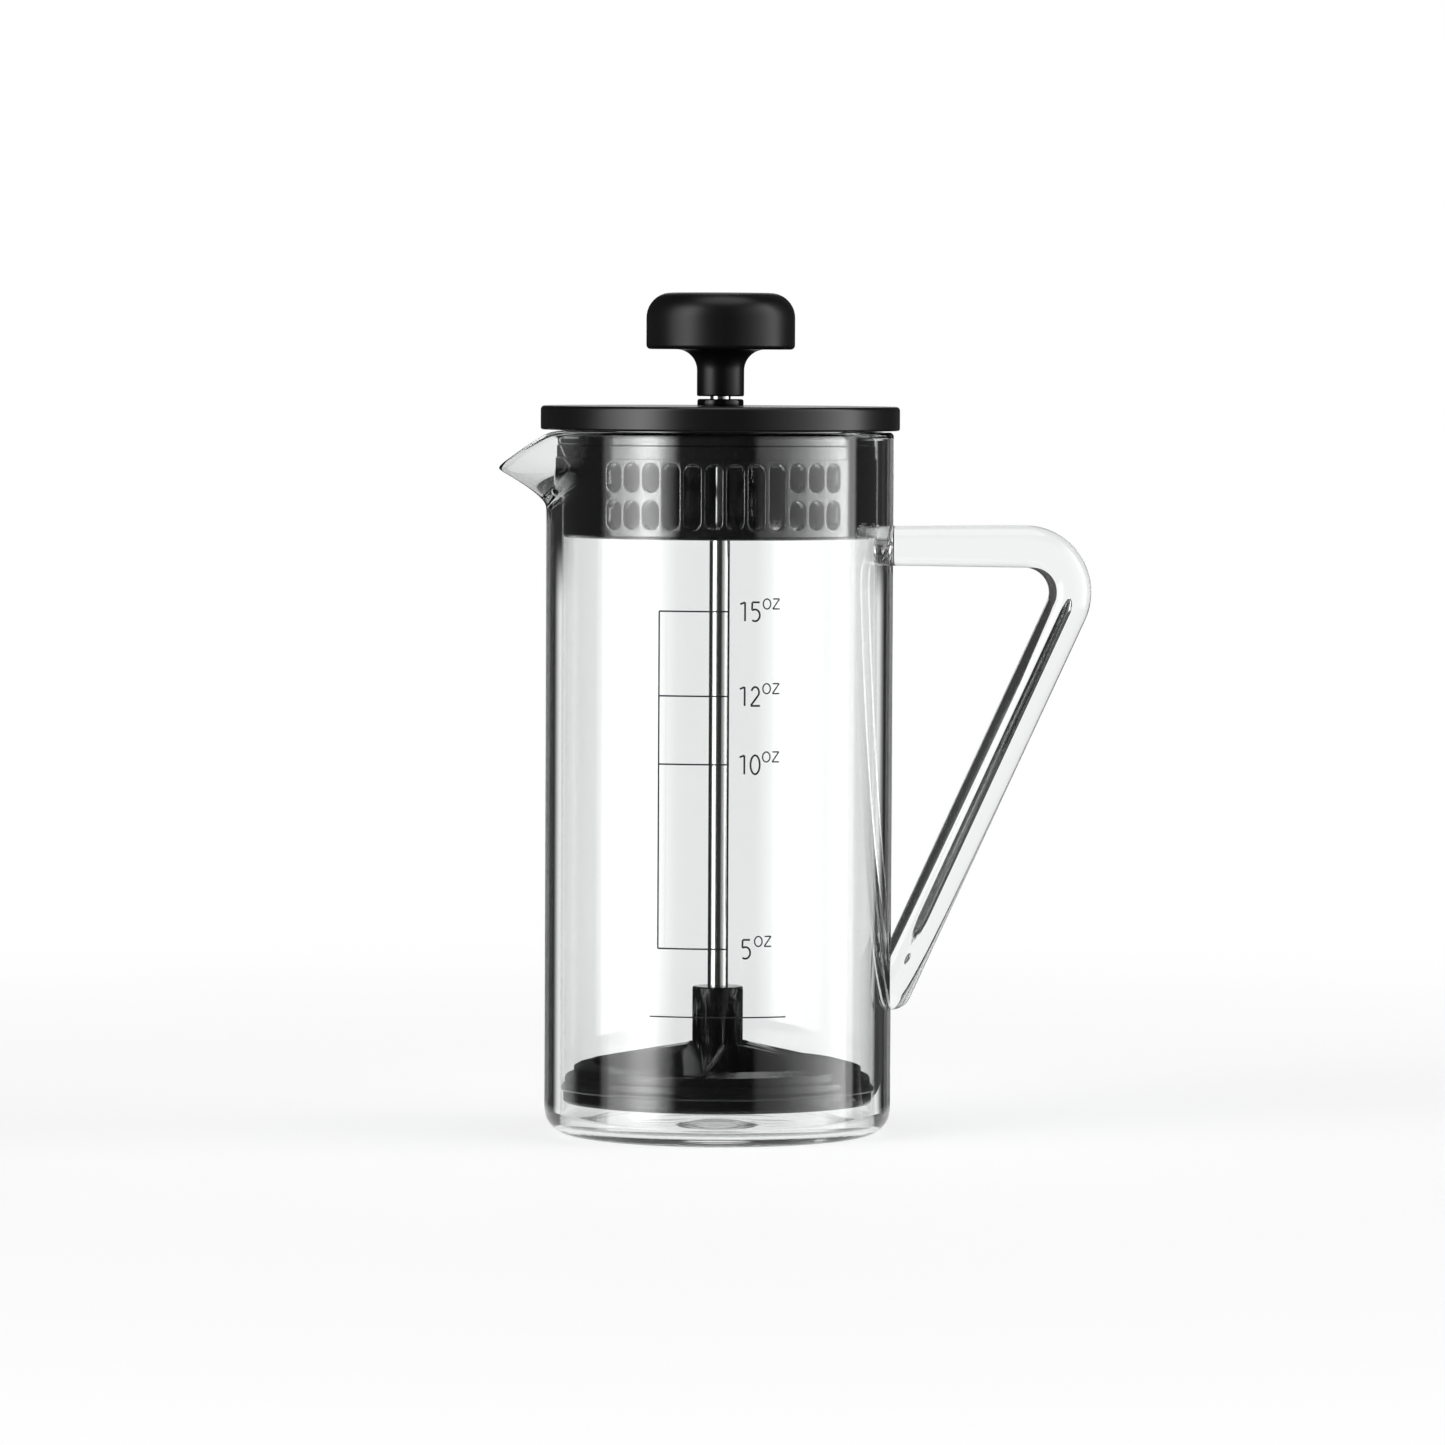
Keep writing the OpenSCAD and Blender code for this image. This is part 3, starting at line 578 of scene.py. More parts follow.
# %% The fine bore
BORE_R_OF_ROD, BORE_DEPTH, BORE_SIDES = 0.78, 1.6, 20
DASH_AT, DASH_HALF, DASH_R = np.array([42.6, 39.6]), 1.5, 0.32


def bubble(path_points, leans, radii):
    """A closed slender hole along a path: swept as the rod is, and drawn deeper along Y by BORE_DEPTH."""
    points = swept(path_points, np.stack([np.sin(leans), np.cos(leans)], 1), radii, BORE_SIDES)
    points[..., 1] *= BORE_DEPTH
    return into_mesh("hole", points, grid_faces(len(points), BORE_SIDES, False, True))


hole_turn = np.linspace(turn[-1] * 0.84, turn[-1], 6)
hole_down = np.linspace(0.02, 0.885, 26)[:, None]
hole_path = np.concatenate([
    np.array([BEND_X, BEND_Z]) + BEND_R * np.stack([np.sin(hole_turn), np.cos(hole_turn)], 1),
    bend_end + (FOOT - bend_end) * hole_down])
along = np.linspace(0, 1, len(hole_path))
hole_mesh = bubble(hole_path, np.concatenate([hole_turn, np.full(len(hole_down), turn[-1])]),
                   BORE_R_OF_ROD * np.sqrt(np.clip(np.minimum(along / 0.14, (1 - along) / 0.05), 0, 1)))
dash = np.linspace(-1, 1, 9)
dash_mesh = bubble(DASH_AT + DASH_HALF * dash[:, None] * DOWN, np.full(len(dash), turn[-1]),
                   DASH_R * np.sqrt(1 - dash ** 2))
print("bore", len(hole_path), "rings, one bubble below it")

# %% [markdown]
# Beaker and rod are one piece of glass, so they are made one mesh: light must not meet a wall between them.
# The exact Boolean joins them and takes the fine bore away.

# %% Fuse the glass
def fused(mesh, others):
    """Applies exact Booleans to a mesh: others are pairs of a mesh and UNION or DIFFERENCE."""
    base = bpy.data.objects.new("base", mesh)
    bpy.context.scene.collection.objects.link(base)
    tools = []
    for other, how in others:
        tool = bpy.data.objects.new("tool", other)
        bpy.context.scene.collection.objects.link(tool)
        tools.append(tool)
        step = base.modifiers.new("fuse", "BOOLEAN")
        step.operation, step.solver, step.object = how, "EXACT", tool
    result = bpy.data.meshes.new_from_object(base.evaluated_get(bpy.context.evaluated_depsgraph_get()))
    for used in [base, *tools]:
        bpy.data.objects.remove(used)
    return result


glass_mesh = fused(beaker_mesh, [(handle_mesh, "UNION"), (hole_mesh, "DIFFERENCE"), (dash_mesh, "DIFFERENCE")])
glass_mesh.name = "glass_body"
glass_mesh.shade_smooth()
glass_mesh.set_sharp_from_angle(angle=math.radians(38))
print("glass", len(glass_mesh.polygons), "faces")

# %% [markdown]
# Borosilicate is clear, with an index of about 1.47, and faintly grey in its thick edges. In the handle the
# bore shows as a dark, streaky line. Clear glass alone leaves it too bright here, so shade is painted on: close
# to the bore's axis, noise drawn out along the rod darkens the glass colour. This painted shade stands in for
# the dark that the bore bends into view, not something that the real rod is coated with. To find the axis, a
# place is counted from the end of the bend and turned upright.

# %% Glass
CLEAR, SHADOW = linear("#F9FAFA"), linear("#EEF2F1")
# Reach and ends of the painted bore shade, in millimetres from the end of the bend
BORE_SHADE_R, BORE_SHADE_TOP, BORE_SHADE_LOW = 2.2, 3.0, -89.0
# Drawn borosilicate, flame-finished: smooth all over, so only its edges and the bore show
borosilicate, tree, shader = finish_of("drawn_borosilicate_glass", {
    "Base Color": CLEAR, "Roughness": 0.0, "IOR": 1.47, "Transmission Weight": 1.0})
where = add(tree, "TexCoord").outputs["Object"]
beside = add(tree, "VectorMath", {"operation": "SUBTRACT"}, {
    0: where, 1: (bend_end[0] * MM, 0, bend_end[1] * MM)}).outputs[0]
straightened = add(tree, "VectorRotate", {"rotation_type": "Y_AXIS"}, {
    "Vector": beside, "Angle": -LEAN}).outputs[0]
axes = add(tree, "SeparateXYZ", links={0: straightened}).outputs
flat = add(tree, "CombineXYZ", links={"X": axes["X"], "Y": axes["Y"]}).outputs[0]
off_axis = add(tree, "VectorMath", {"operation": "LENGTH"}, {0: flat}).outputs["Value"]
# Painted shade of the bore: the glass colour is darkened close to its axis, between two heights
painted_bore_shade = add(tree, "Math", {"operation": "LESS_THAN"}, {0: off_axis, 1: BORE_SHADE_R * MM}).outputs[0]
for side, end in (("LESS_THAN", BORE_SHADE_TOP), ("GREATER_THAN", BORE_SHADE_LOW)):
    inside = add(tree, "Math", {"operation": side}, {0: axes["Z"], 1: end * MM}).outputs[0]
    painted_bore_shade = add(tree, "Math", {"operation": "MULTIPLY"}, {0: painted_bore_shade, 1: inside}).outputs[0]
# Painted shade in streaks about half a millimetre wide and 40 mm long
long_way = add(tree, "Mapping", links={"Vector": straightened, "Scale": (1800.0, 1800.0, 25.0)}).outputs[0]
shade_streaks = add(tree, "TexNoise", links={"Vector": long_way, "Scale": 1.0, "Detail": 1.0}).outputs["Fac"]
drawn = add(tree, "MapRange", links={
    "Value": shade_streaks, "From Min": 0.42, "From Max": 0.68, "To Min": 0.03, "To Max": 0.6}).outputs[0]
bore_shade_tint = add(tree, "MixRGB", links={"Fac": painted_bore_shade, "Color1": CLEAR, "Color2": drawn}).outputs[0]
tree.links.new(bore_shade_tint, shader.inputs["Base Color"])
shade = add(tree, "BsdfTransparent", links={"Color": SHADOW}).outputs[0]
rays = add(tree, "LightPath").outputs["Is Shadow Ray"]
mixed = add(tree, "MixShader", links={0: rays, 1: shader.outputs[0], 2: shade}).outputs[0]
tree.links.new(mixed, tree.nodes["Material Output"].inputs["Surface"])
place("beaker_and_handle", glass_mesh, borosilicate, "beaker",
      ("glass_beaker", "glass_handle"), even=False)

# %% [markdown]
# ## Black plastics
#
# The lid is moulded ABS from a spark-eroded mould: a fine grain that spreads the light. Its plug and spigot,
# down inside the glass, came from a polished part of the mould, and so did the strainer's skirt, so they
# mirror the soft boxes. The knob is phenolic, with a satin face. The plunger's parts are nylon, and its lip
# is silicone, both fairly smooth. All are dyed through in nearly the same black, so gloss and grain are what
# tell them apart.

# %% Black finishes
POLISHED_ROUGH = 0.06


def moulded(name, colour, rough, grain_mm, grain_height_mm, specular=0.5, coat=0.0, coat_rough=0.03,
            polished_below=None):
    """A dyed plastic. Its grain is noise at the real size, which bumps the surface, and a wider noise varies its
    gloss a little. Below the height polished_below, in millimetres, the mould was polished: the gloss rises and
    the grain is gone."""
    made, tree, shader = finish_of(name, {
        "Base Color": linear(colour), "Specular IOR Level": specular, "Coat Weight": coat,
        "Coat Roughness": coat_rough, "IOR": 1.5})
    where = add(tree, "TexCoord").outputs["Object"]
    grain = add(tree, "TexNoise", links={
        "Vector": where, "Scale": 1 / (grain_mm * MM), "Detail": 2.0, "Roughness": 0.6}).outputs["Fac"]
    cloud = add(tree, "TexNoise", links={"Vector": where, "Scale": 60.0, "Detail": 3.0}).outputs["Fac"]
    gloss = add(tree, "MapRange", links={
        "Value": cloud, "From Min": 0.3, "From Max": 0.7, "To Min": rough * 0.9, "To Max": rough * 1.1})
    roughness, relief = gloss.outputs[0], 1.0
    if polished_below:
        up = add(tree, "SeparateXYZ", links={0: where}).outputs["Z"]
        grained = add(tree, "Math", {"operation": "GREATER_THAN"}, {0: up, 1: polished_below * MM}).outputs[0]
        roughness = add(tree, "MapRange", links={
            "Value": grained, "To Min": POLISHED_ROUGH, "To Max": roughness}).outputs[0]
        shine = add(tree, "MapRange", links={"Value": grained, "To Min": 1.0, "To Max": specular}).outputs[0]
        tree.links.new(shine, shader.inputs["Specular IOR Level"])
        glaze = add(tree, "Math", {"operation": "SUBTRACT"}, {0: 1.0, 1: grained}).outputs[0]
        tree.links.new(glaze, shader.inputs["Coat Weight"])
        relief = grained
    tree.links.new(roughness, shader.inputs["Roughness"])
    bump = add(tree, "Bump", links={
        "Height": grain, "Distance": grain_height_mm * MM, "Strength": relief}).outputs[0]
    tree.links.new(bump, shader.inputs["Normal"])
    return made


# ABS from a spark-eroded mould: a dull sheen with a grain of 0.3 mm, polished up to the rim
matte_abs = moulded("spark_grained_abs", "#090909", 0.30, 0.30, 0.008, 0.52, polished_below=RIM_Z + 0.2)
# ABS from a polished mould: a clear dark mirror
gloss_abs = moulded("polished_black_abs", "#060606", 0.08, 0.60, 0.0006, 1.0, 1.0, 0.02)
# Phenolic with a satin face: broad soft highlights
satin_knob = moulded("satin_black_phenolic", "#0C0C0C", 0.36, 0.35, 0.008, 0.32)
# Nylon as it leaves the mould: fairly smooth, less bright than polished ABS
nylon = moulded("moulded_black_nylon", "#080808", 0.14, 0.30, 0.003, 0.34)
# Pressed silicone: smooth, with a soft wide glint
silicone = moulded("black_silicone", "#080808", 0.12, 0.50, 0.003, 0.42)
print("black finishes:", [finish.name for finish in (matte_abs, gloss_abs, satin_knob, nylon, silicone)])

# %% [markdown]
# ## The lid
#
# One moulding: a cap that covers the rim, a plug that drops into the bore, and a spigot inside the strainer.
# In its middle a boss holds the bush that guides the rod.

# %% Lid and bush
CAP_R, CAP_Z, CAP_TOP = cap_high[0], RIM_Z + 0.3, cap_high[2]
PLUG_R, SPIGOT_R, SPIGOT_BORE_R = 34.7, 33.15, 31.35
COLLAR_TOP = skirt_high[2]
BOSS_BORE_R, BOSS_R, BOSS_Z = 3.65, 7.0, 156.0
place("lid", turned_mesh("lid", [
    (BOSS_BORE_R, CAP_TOP, 0.15), (CAP_R, CAP_TOP, 0.9), (CAP_R, CAP_Z, 0.5), (PLUG_R, CAP_Z, 0.1),
    (PLUG_R, COLLAR_TOP, 0.3), (SPIGOT_R, COLLAR_TOP, 0.05), (SPIGOT_R, cap_low[2], 0.4),
    (SPIGOT_BORE_R, cap_low[2], 0.4), (SPIGOT_BORE_R, CAP_TOP - 2.4, 0.8), (BOSS_R, CAP_TOP - 2.4, 0.8),
    (BOSS_R, BOSS_Z, 0.4), (BOSS_BORE_R, BOSS_Z, 0.15)]), matte_abs, "lid", ("lid_cap",))

BUSH_R, SLEEVE_R, BUSH_BORE_R = 5.2, 3.6, 2.35
CLIP_LOW, CLIP_HIGH, CLIP_R = 155.15, 155.95, 3.2
place("bush", turned_mesh("bush", [
    (BUSH_BORE_R, bush_high[2], 0.15), (BUSH_R, bush_high[2], 0.5), (BUSH_R, CAP_TOP + 0.05, 0.1),
    (SLEEVE_R, CAP_TOP + 0.05, 0.1), (SLEEVE_R, CLIP_HIGH, 0.05), (CLIP_R, CLIP_HIGH, 0.05),
    (CLIP_R, CLIP_LOW, 0.05), (SLEEVE_R, CLIP_LOW, 0.05), (SLEEVE_R, bush_low[2], 0.2),
    (BUSH_BORE_R, bush_low[2], 0.15)], 96, 4), nylon, "bush", ("rod_bush",))

# %% [markdown]
# ## The knob and the rod
#
# The knob is a thick button with a well-rounded top, a tight lower edge and a hollow curve into its neck,
# which is where two fingers go. The rod is ground and polished stainless steel: its only pattern is the very
# fine drawing along its length.

# %% Knob and rod
NECK_R, KNOB_R, KNOB_Z, SOCKET_TOP, INSERT_TOP, HOLE_TOP = 5.3, knob_high[0], 176.4, 168.9, 178.9, 181.9
place("knob_cap", turned_mesh("knob_cap", [
    (BUSH_BORE_R, knob_low[2], 0.1), (NECK_R, knob_low[2], 0.4), (NECK_R, KNOB_Z, 4.7), (KNOB_R, KNOB_Z, 1.0),
    (KNOB_R, knob_high[2], 5.6), (0, knob_high[2], 0), (0, HOLE_TOP, 0), (2.05, HOLE_TOP, 0.1),
    (2.05, INSERT_TOP, 0.1), (3.5, INSERT_TOP, 0.1), (3.5, SOCKET_TOP, 0.1), (BUSH_BORE_R, SOCKET_TOP, 0.1)],
    192, 12), satin_knob, "plunger", ("knob",))

def varied(tree, shader, pattern, low, high):
    """Lets a pattern between 0 and 1 move a finish's roughness between two values."""
    gloss = add(tree, "MapRange", links={"Value": pattern, "To Min": low, "To Max": high}).outputs[0]
    tree.links.new(gloss, shader.inputs["Roughness"])


# Stainless steel, ground and polished along its length: a bright mirror with very fine upright lines
steel, tree, shader = finish_of("polished_stainless_steel", {
    "Base Color": linear("#C9C9C7"), "Metallic": 1.0, "Roughness": 0.08})
where = add(tree, "TexCoord").outputs["Object"]
drawn = add(tree, "Mapping", links={"Vector": where, "Scale": (9000.0, 9000.0, 60.0)}).outputs[0]
lines = add(tree, "TexNoise", links={"Vector": drawn, "Scale": 1.0, "Detail": 2.0}).outputs["Fac"]
varied(tree, shader, lines, 0.04, 0.12)

ROD_OUT_R, THREAD_R, SHOULDER_LOW, SHOULDER_HIGH = 2.3, 2.0, 30.2, 168.9
place("rod", turned_mesh("rod", [
    (0, rod_low[2], 0), (THREAD_R, rod_low[2], 0.3), (THREAD_R, SHOULDER_LOW, 0.05),
    (ROD_OUT_R, SHOULDER_LOW, 0.1), (ROD_OUT_R, SHOULDER_HIGH, 0.1), (THREAD_R, SHOULDER_HIGH, 0.05),
    (THREAD_R, rod_high[2], 0.3),
    (0, rod_high[2], 0)], 96, 4), steel, "plunger", ("plunger_rod",))

# %% [markdown]
# ## The strainer
#
# The skirt is a short tube with twelve columns of slots. It is laid out flat, as a pattern on the tube: each
# slot has its own cell, and the points on the cell's border are carried to the slot's outline, so that cells
# meet edge to edge and every slot gets a small rounded edge. A Boolean would leave long thin faces that spoil
# the gloss.

# %% Slot cells
SKIRT_R, SKIRT_BORE_R, COLLAR_R = 35.2, 33.2, 34.9
SKIRT_Z, SKIRT_TOP = skirt_low[2], 152.1
SLOT_PITCH, WINDOW_TURN, COLUMNS, SHORT_EACH = math.radians(7.6), math.radians(1.65), 12, 3
SLOT_W, SLOT_LOW, SLOT_HIGH, BRIDGE, SLOT_EDGE = 3.6, 136.6, 151.1, 2.0, 0.3
CELL_LOW, CELL_HIGH = SLOT_LOW - 0.6, SLOT_HIGH + 0.6
SLOT_MID = (SLOT_LOW + SLOT_HIGH) / 2
half_pitch = SLOT_PITCH * SKIRT_R / 2
lower_side = np.concatenate([np.linspace(CELL_LOW, SLOT_LOW + SLOT_W / 2, 7)[:-1],
                             np.linspace(SLOT_LOW + SLOT_W / 2, SLOT_MID - BRIDGE / 2 - SLOT_W / 2, 4)[:-1],
                             np.linspace(SLOT_MID - BRIDGE / 2 - SLOT_W / 2, SLOT_MID, 8)])
upper_side = (2 * SLOT_MID - lower_side)[::-1]
whole_side = np.concatenate([lower_side, upper_side[1:]])
cell_top = np.linspace(-half_pitch, half_pitch, 9)


def slot_cell(turn_to, side, slot_low, slot_high):
    """Strip round one slot. A border point p of the cell is joined to the nearest point c of the slot's middle
    line; the slot's outline, at the distance d from that line, is c + d (p - c) / |p - c|."""
    n = len(side)
    border = np.concatenate([
        np.stack([np.full(n, half_pitch), side], 1), np.stack([cell_top[::-1], np.full(9, side[-1])], 1)[1:-1],
        np.stack([np.full(n, -half_pitch), side[::-1]], 1), np.stack([cell_top, np.full(9, side[0])], 1)[1:-1]])
    line = np.stack([0 * border[:, 0], np.clip(border[:, 1], slot_low + SLOT_W / 2, slot_high - SLOT_W / 2)], 1)
    spoke = (border - line) / np.linalg.norm(border - line, axis=1, keepdims=True)
    bend = np.array([0, 0.25, 0.5, 0.75, 1]) * np.pi / 2
    out = SLOT_W / 2 + SLOT_EDGE * (1 - np.sin(bend))
    sink = SLOT_EDGE * (1 - np.cos(bend))
    away = np.concatenate([out, out[::-1]])[:, None, None]
    depth = np.concatenate([SKIRT_R - sink, (SKIRT_BORE_R + sink)[::-1]])[:, None]
    flat = np.concatenate([border[None], line + spoke * away, border[None]])
    radius = np.concatenate([[[SKIRT_R]], depth, [[SKIRT_BORE_R]]])
    a = turn_to + flat[..., 0] / SKIRT_R
    return np.stack([radius * np.sin(a), -radius * np.cos(a), flat[..., 1] + 0 * a], -1)


def band(outline, angles):
    """Open strip of an outline carried through some angles, counted from the side of the slots."""
    a = angles[None, :]
    return np.stack([outline[:, :1] * np.sin(a), -outline[:, :1] * np.cos(a), outline[:, 1:] + 0 * a], -1)


print("slots", SLOT_W, "mm wide, cells", round(2 * half_pitch, 2), "mm")

# %% Lay the cells round the tube
columns_at = (np.arange(COLUMNS) - (COLUMNS - 1) / 2) * SLOT_PITCH + WINDOW_TURN
window = np.concatenate([turn_to + cell_top[:-1] / SKIRT_R for turn_to in columns_at]
                        + [[columns_at[-1] + cell_top[-1] / SKIRT_R]])
rest = np.linspace(window[-1], window[0] + 2 * np.pi, 145)
all_round = np.concatenate([window, rest[1:-1]])
lower_edge = rounded([(SKIRT_R, CELL_LOW + 9, 0), (SKIRT_R, SKIRT_Z, 0.9), (SKIRT_BORE_R, SKIRT_Z, 0.4),
                      (SKIRT_BORE_R, CELL_LOW + 9, 0)], 8)
lower_edge = lower_edge[(lower_edge[:, 1] < CELL_LOW)]
lower_edge = np.concatenate([[[SKIRT_R, CELL_LOW]], lower_edge, [[SKIRT_BORE_R, CELL_LOW]]])
upper_edge = rounded([(SKIRT_BORE_R, CELL_HIGH - 9, 0), (SKIRT_BORE_R, COLLAR_TOP, 0.2),
                      (COLLAR_R, COLLAR_TOP, 0.25), (COLLAR_R, SKIRT_TOP, 0.05), (SKIRT_R, SKIRT_TOP, 0.15),
                      (SKIRT_R, CELL_HIGH - 9, 0)], 5)
upper_edge = upper_edge[(upper_edge[:, 1] > CELL_HIGH)]
upper_edge = np.concatenate([[[SKIRT_BORE_R, CELL_HIGH]], upper_edge, [[SKIRT_R, CELL_HIGH]]])
strips = [(band(lower_edge, all_round), True), (band(upper_edge, all_round), True)]
sides = [np.stack([np.full(len(whole_side), r), whole_side], 1) for r in (SKIRT_R, SKIRT_BORE_R)]
strips += [(band(side, rest), False) for side in sides]
for k, turn_to in enumerate(columns_at):
    if SHORT_EACH <= k < COLUMNS - SHORT_EACH:
        strips.append((slot_cell(turn_to, whole_side, SLOT_LOW, SLOT_HIGH), True))
    else:
        strips.append((slot_cell(turn_to, lower_side, SLOT_LOW, SLOT_MID - BRIDGE / 2), True))
        strips.append((slot_cell(turn_to, upper_side, SLOT_MID + BRIDGE / 2, SLOT_HIGH), True))
skirt_mesh = into_mesh("strainer_sleeve", *joined([
    (strip, grid_faces(*strip.shape[:2], False, goes_round)) for strip, goes_round in strips]))
place("strainer_sleeve", skirt_mesh, gloss_abs, "strainer", ("strainer_skirt",))

# %% [markdown]
# ## The piston
#
# From the floor up: a nut, a spoked grid, the woven mesh in its steel rim, and the frame whose four arms
# press the rim down. The frame's shape is right as it came, so a copy of it is welded and gets the small
# moulded edges that catch the light. The same goes for the grid and the nut.

# %% Parts with moulded edges
def with_edges(node, name, finish, body, edge_mm):
    """A copy of a node's mesh, welded and turned back into large flat faces, with its sharp edges rounded."""
    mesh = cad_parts[node].data.copy()
    work = bmesh.new()
    work.from_mesh(mesh)
    bmesh.ops.remove_doubles(work, verts=work.verts, dist=0.004 * MM)
    bmesh.ops.dissolve_limit(work, angle_limit=math.radians(0.3), verts=work.verts, edges=work.edges)
    work.to_mesh(mesh)
    work.free()
    mesh.shade_smooth()
    mesh.set_sharp_from_angle(angle=math.radians(30))
    piece = place(name, mesh, finish, body, (node,), even=False)
    edges = piece.modifiers.new("moulded_edges", "BEVEL")
    edges.width, edges.segments = edge_mm * MM, 3
    edges.limit_method, edges.angle_limit = "ANGLE", math.radians(40)
    edges.use_clamp_overlap = True
    edges.harden_normals = True
    return piece


with_edges("piston_frame", "piston_arms", nylon, "plunger", 0.3)
with_edges("base_grid", "spoked_grid", nylon, "plunger", 0.25)
with_edges("clamp_nut", "fluted_nut", nylon, "plunger", 0.2)

# %% [markdown]
# The seal is a silicone ring with a lip that wipes the bore, and the mesh is held in a rolled steel rim. Here
# the lip stops 0.2 mm short of the glass, so that the two never cut into each other.

# %% Seal and rim
RING_R, SEAL_R, GRID_TOP, SEAL_TOP = ring_high[0], 34.4, grid_high[2], 13.5
place("wiping_seal", turned_mesh("wiping_seal", [
    (RING_R + 0.02, GRID_TOP + 0.02, 0.05), (35.0, GRID_TOP + 0.05, 0.1), (35.3, GRID_TOP + 0.45, 0.15),
    (35.3, GRID_TOP + 0.75, 0.12), (SEAL_R, GRID_TOP + 1.5, 0.3), (SEAL_R, SEAL_TOP, 0.5),
    (RING_R + 0.02, SEAL_TOP, 0.2)], 192, 6), silicone, "plunger", ("lip_seal",))
place("mesh_rim_ring", turned_mesh("mesh_rim_ring", [
    (RING_R, ring_low[2], 0.2), (RING_R, ring_high[2], 0.3), (RING_R - 1.3, ring_high[2], 0.3),
    (RING_R - 1.3, ring_low[2], 0.2)], 192, 4), steel, "plunger", ("mesh_rim",))

# %% [markdown]
# The mesh is plain-woven stainless wire: every wire goes over one and under the next. The real one has about
# 30 wires to the centimetre, too fine to show, so it is drawn three times coarser, and each wire has four
# sides.

# %% Woven mesh
WIRE_PITCH, WIRE_R = 0.9, 0.13
WIRES_EACH_WAY, STEPS_EACH_WAY, STEPS_A_PITCH = 34, 104, 3
MESH_R, MESH_Z = RING_R - 1.3, (GRID_TOP + 0.25)


def wires(turned_over):
    """Wires side by side: each is a cosine of the place along it, with its sign from its own number, clipped to
    the disc."""
    number = np.arange(-WIRES_EACH_WAY, WIRES_EACH_WAY + 1)
    side = number * WIRE_PITCH
    half = np.sqrt(np.clip(MESH_R ** 2 - side ** 2, 0, None))
    along = np.arange(-STEPS_EACH_WAY, STEPS_EACH_WAY + 1) / STEPS_A_PITCH * WIRE_PITCH
    s = np.clip(along[None, :], -half[:, None], half[:, None])
    first_way = -1 if turned_over else 1
    lift = WIRE_R * np.cos(np.pi * s / WIRE_PITCH) * (1 - 2 * (number % 2))[:, None] * first_way
    b = np.arange(4) * np.pi / 2
    across = side[:, None, None] + WIRE_R * np.cos(b)
    up = MESH_Z + lift[..., None] + WIRE_R * np.sin(b)
    far = s[..., None] + 0 * up
    across = across + 0 * up
    return np.stack([across, far, up] if turned_over else [far, across, up], -1)


n_along = 2 * STEPS_EACH_WAY + 1
wire_ends = [[3, 2, 1, 0], [4 * n_along - 4, 4 * n_along - 3, 4 * n_along - 2, 4 * n_along - 1]]
one_wire = np.concatenate([grid_faces(n_along, 4, False, True), wire_ends])
woven = joined([(wire, one_wire) for layer in (wires(False), wires(True)) for wire in layer])
# Drawn stainless wire: duller than the rod, and each wire catches the light for itself
mesh_steel, tree, shader = finish_of("woven_stainless_wire", {
    "Base Color": linear("#B9BABA"), "Metallic": 1.0, "Roughness": 0.3})
where = add(tree, "TexCoord").outputs["Object"]
spots = add(tree, "TexNoise", links={"Vector": where, "Scale": 900.0}).outputs["Fac"]
varied(tree, shader, spots, 0.2, 0.4)
woven_mesh = into_mesh("woven_filter", *woven, 0.001)
place("woven_filter", woven_mesh, mesh_steel, "plunger", ("filter_mesh",), even=False)

# %% [markdown]
# The brass inserts and the spring ring sit out of sight. Their shapes stay as they came, with a finish each.

# %% Small metal parts
def plain_metal(name, colour, rough):
    """A turned or stamped metal: fine rings from turning vary its gloss."""
    made, tree, shader = finish_of(name, {"Base Color": linear(colour), "Metallic": 1.0})
    where = add(tree, "TexCoord").outputs["Object"]
    rings = add(tree, "TexWave", {"bands_direction": "Z"}, {"Vector": where, "Scale": 700.0, "Distortion": 1.0})
    varied(tree, shader, rings.outputs["Fac"], rough * 0.8, rough * 1.2)
    return made


brass = plain_metal("turned_brass", "#C8A45C", 0.3)
spring = plain_metal("hardened_spring_steel", "#A8A8A6", 0.35)
for node, finish in [("knob_insert", brass), ("hub_insert", brass), ("bush_ring", spring)]:
    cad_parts[node].data.materials.clear()
    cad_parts[node].data.materials.append(finish)
    print(node, "has", finish.name)

# %% [markdown]
# ## The measuring scale
#
# A thin black scale is screen-printed on the glass: a line up the wall, four marks with their numbers, and a
# rule below. Each stroke is drawn flat, in millimetres, then wrapped round the wall and given the thickness
# of ink.

# %% Strokes of ink
INK_W, LINE_W, UNIT_W, RULE_W, INK_T = 0.42, 0.34, 0.3, 0.3, 0.03
DIGIT_H, DIGIT_W = 4.15, 2.35


def stroke(points, width):
    """Ribbon along a drawn line: at each point, half the width to both sides of the line's direction, and the
    thickness of the ink outwards; its ends are drawn together so that it closes."""
    points = np.asarray(points, float)
    step = np.gradient(points, axis=0)
    step /= np.linalg.norm(step, axis=1, keepdims=True)
    side = np.stack([-step[:, 1], step[:, 0]], 1) * width / 2
    ring = np.stack([points + side, points + side, points - side, points - side], 1)
    ring = np.concatenate([ring[:1] * 0 + points[:1][:, None], ring, ring[-1:] * 0 + points[-1:][:, None]])
    radius = WALL_R + 0.006 + INK_T * np.array([0, 1, 1, 0])
    a = ring[..., 0] / WALL_R
    return np.stack([radius * np.sin(a), -radius * np.cos(a), ring[..., 1]], -1)


def arc_line(centre, wide, high, first, last, count=24):
    """Points of an elliptic arc, angles in degrees."""
    t = np.radians(np.linspace(first, last, count))
    return np.stack([centre[0] + wide * np.cos(t), centre[1] + high * np.sin(t)], 1)


def straight(*corners):
    """Points of a broken line, eight to a side, so that it bends with the wall."""
    corners = np.asarray(corners, float)
    t = np.linspace(0, 1, 9)[:, None]
    return [corners[i] + (corners[i + 1] - corners[i]) * t for i in range(len(corners) - 1)]


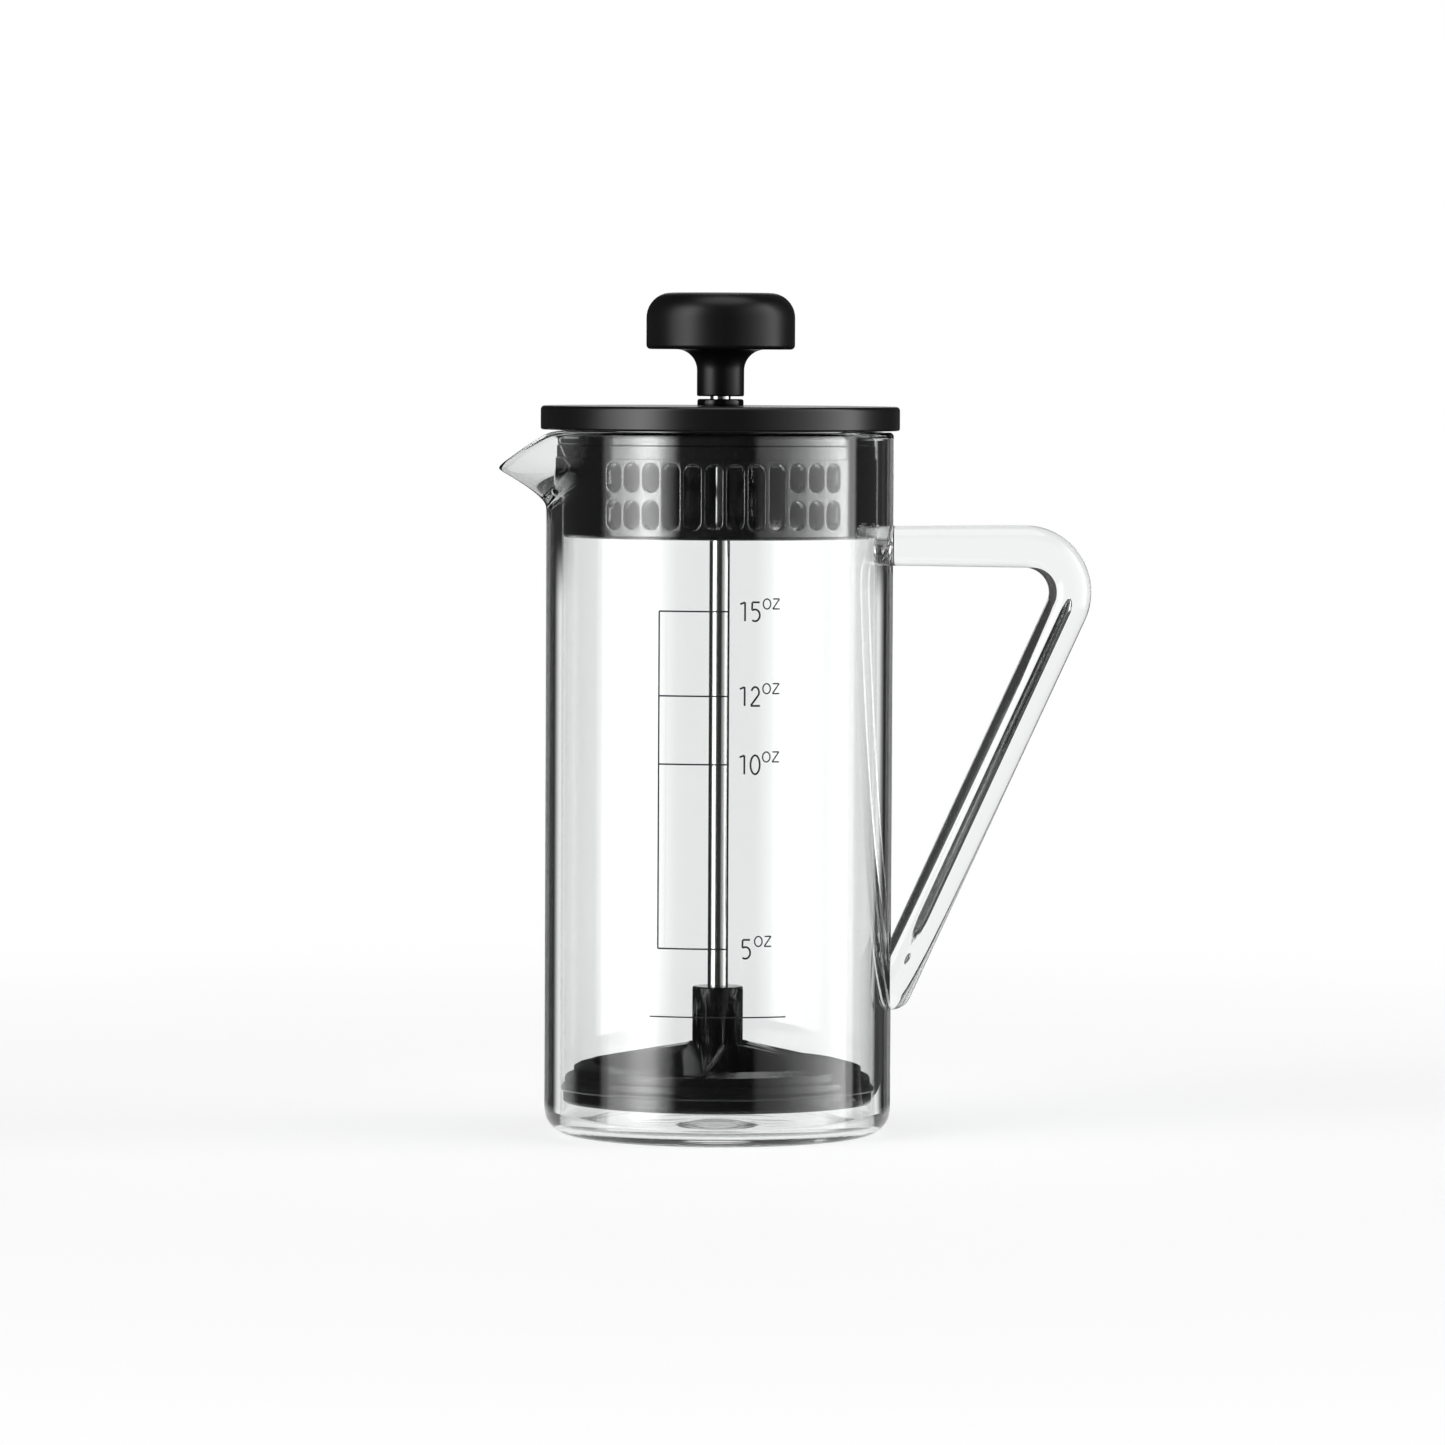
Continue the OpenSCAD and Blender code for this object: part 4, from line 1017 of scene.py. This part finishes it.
# %% Signs
# Each sign as drawn lines in a box one wide and one high
SIGNS = {
    "1": straight((0.12, 0.90), (0.58, 1.0)) + straight((0.58, 1.0), (0.58, 0.0)),
    "0": [arc_line((0.5, 0.5), 0.44, 0.5, 0, 360, 40)],
    "2": [np.concatenate([arc_line((0.48, 0.72), 0.36, 0.28, 165, -30, 24), [[0.06, 0.02]]])]
         + straight((0.04, 0.0), (0.94, 0.0)),
    "5": straight((0.86, 1.0), (0.16, 1.0), (0.14, 0.58))
         + [np.concatenate([[[0.14, 0.58]], arc_line((0.42, 0.31), 0.46, 0.31, 100, -125, 30)])],
    "o": [arc_line((0.5, 0.5), 0.5, 0.5, 0, 360, 32)],
    "z": straight((0.05, 1.0), (0.9, 1.0), (0.0, 0.0), (0.95, 0.0)),
}
print("signs:", sorted(SIGNS))


def write(signs, left, low, wide, high, gap, width):
    """Places signs one after another from a lower left corner."""
    lines = []
    for k, sign in enumerate(signs):
        lines += [stroke(np.array([left + k * (wide + gap), low]) + line * np.array([wide, high]), width)
                  for line in SIGNS[sign]]
    return lines


# %% Place the scale
SCALE_X, MARK_END, NUMBER_X, UNIT_X = -13.5, 1.8, 4.3, 9.75
MARKS = [("15", 118.8), ("12", 100.15), ("10", 85.1), ("5", 44.4)]
RULE_HALF, RULE_Z = 15.4, 29.3
ink_lines = [stroke(np.stack([np.full(40, SCALE_X), np.linspace(MARKS[-1][1], MARKS[0][1], 40)], 1), LINE_W)]
for number, z in MARKS:
    ink_lines.append(stroke(np.stack([np.linspace(SCALE_X, MARK_END, 24), np.full(24, z)], 1), LINE_W))
    number_x, unit_x = (NUMBER_X, UNIT_X) if len(number) == 2 else (NUMBER_X + 0.8, UNIT_X - 1.6)
    ink_lines += write(number, number_x, z - DIGIT_H / 2, DIGIT_W, DIGIT_H, 0.25, INK_W)
    ink_lines += write("oz", unit_x, z + 0.6, 1.7, 2.2, 0.5, UNIT_W)
ink_lines.append(stroke(np.stack([np.linspace(-RULE_HALF, RULE_HALF, 40), np.full(40, RULE_Z)], 1), RULE_W))
# Ceramic ink, screen-printed and fired: dull black with a fine speck
ink, tree, shader = finish_of("screen_printed_ceramic_ink", {"Base Color": linear("#101010"), "Roughness": 0.5})
where = add(tree, "TexCoord").outputs["Object"]
speck = add(tree, "TexNoise", links={"Vector": where, "Scale": 5000.0}).outputs["Fac"]
varied(tree, shader, speck, 0.4, 0.6)
scale_mesh = into_mesh("printed_scale", *joined([
    (line, grid_faces(len(line), 4, False, True)) for line in ink_lines]), 0.0005)
place("printed_scale", scale_mesh, ink, "beaker", even=False)
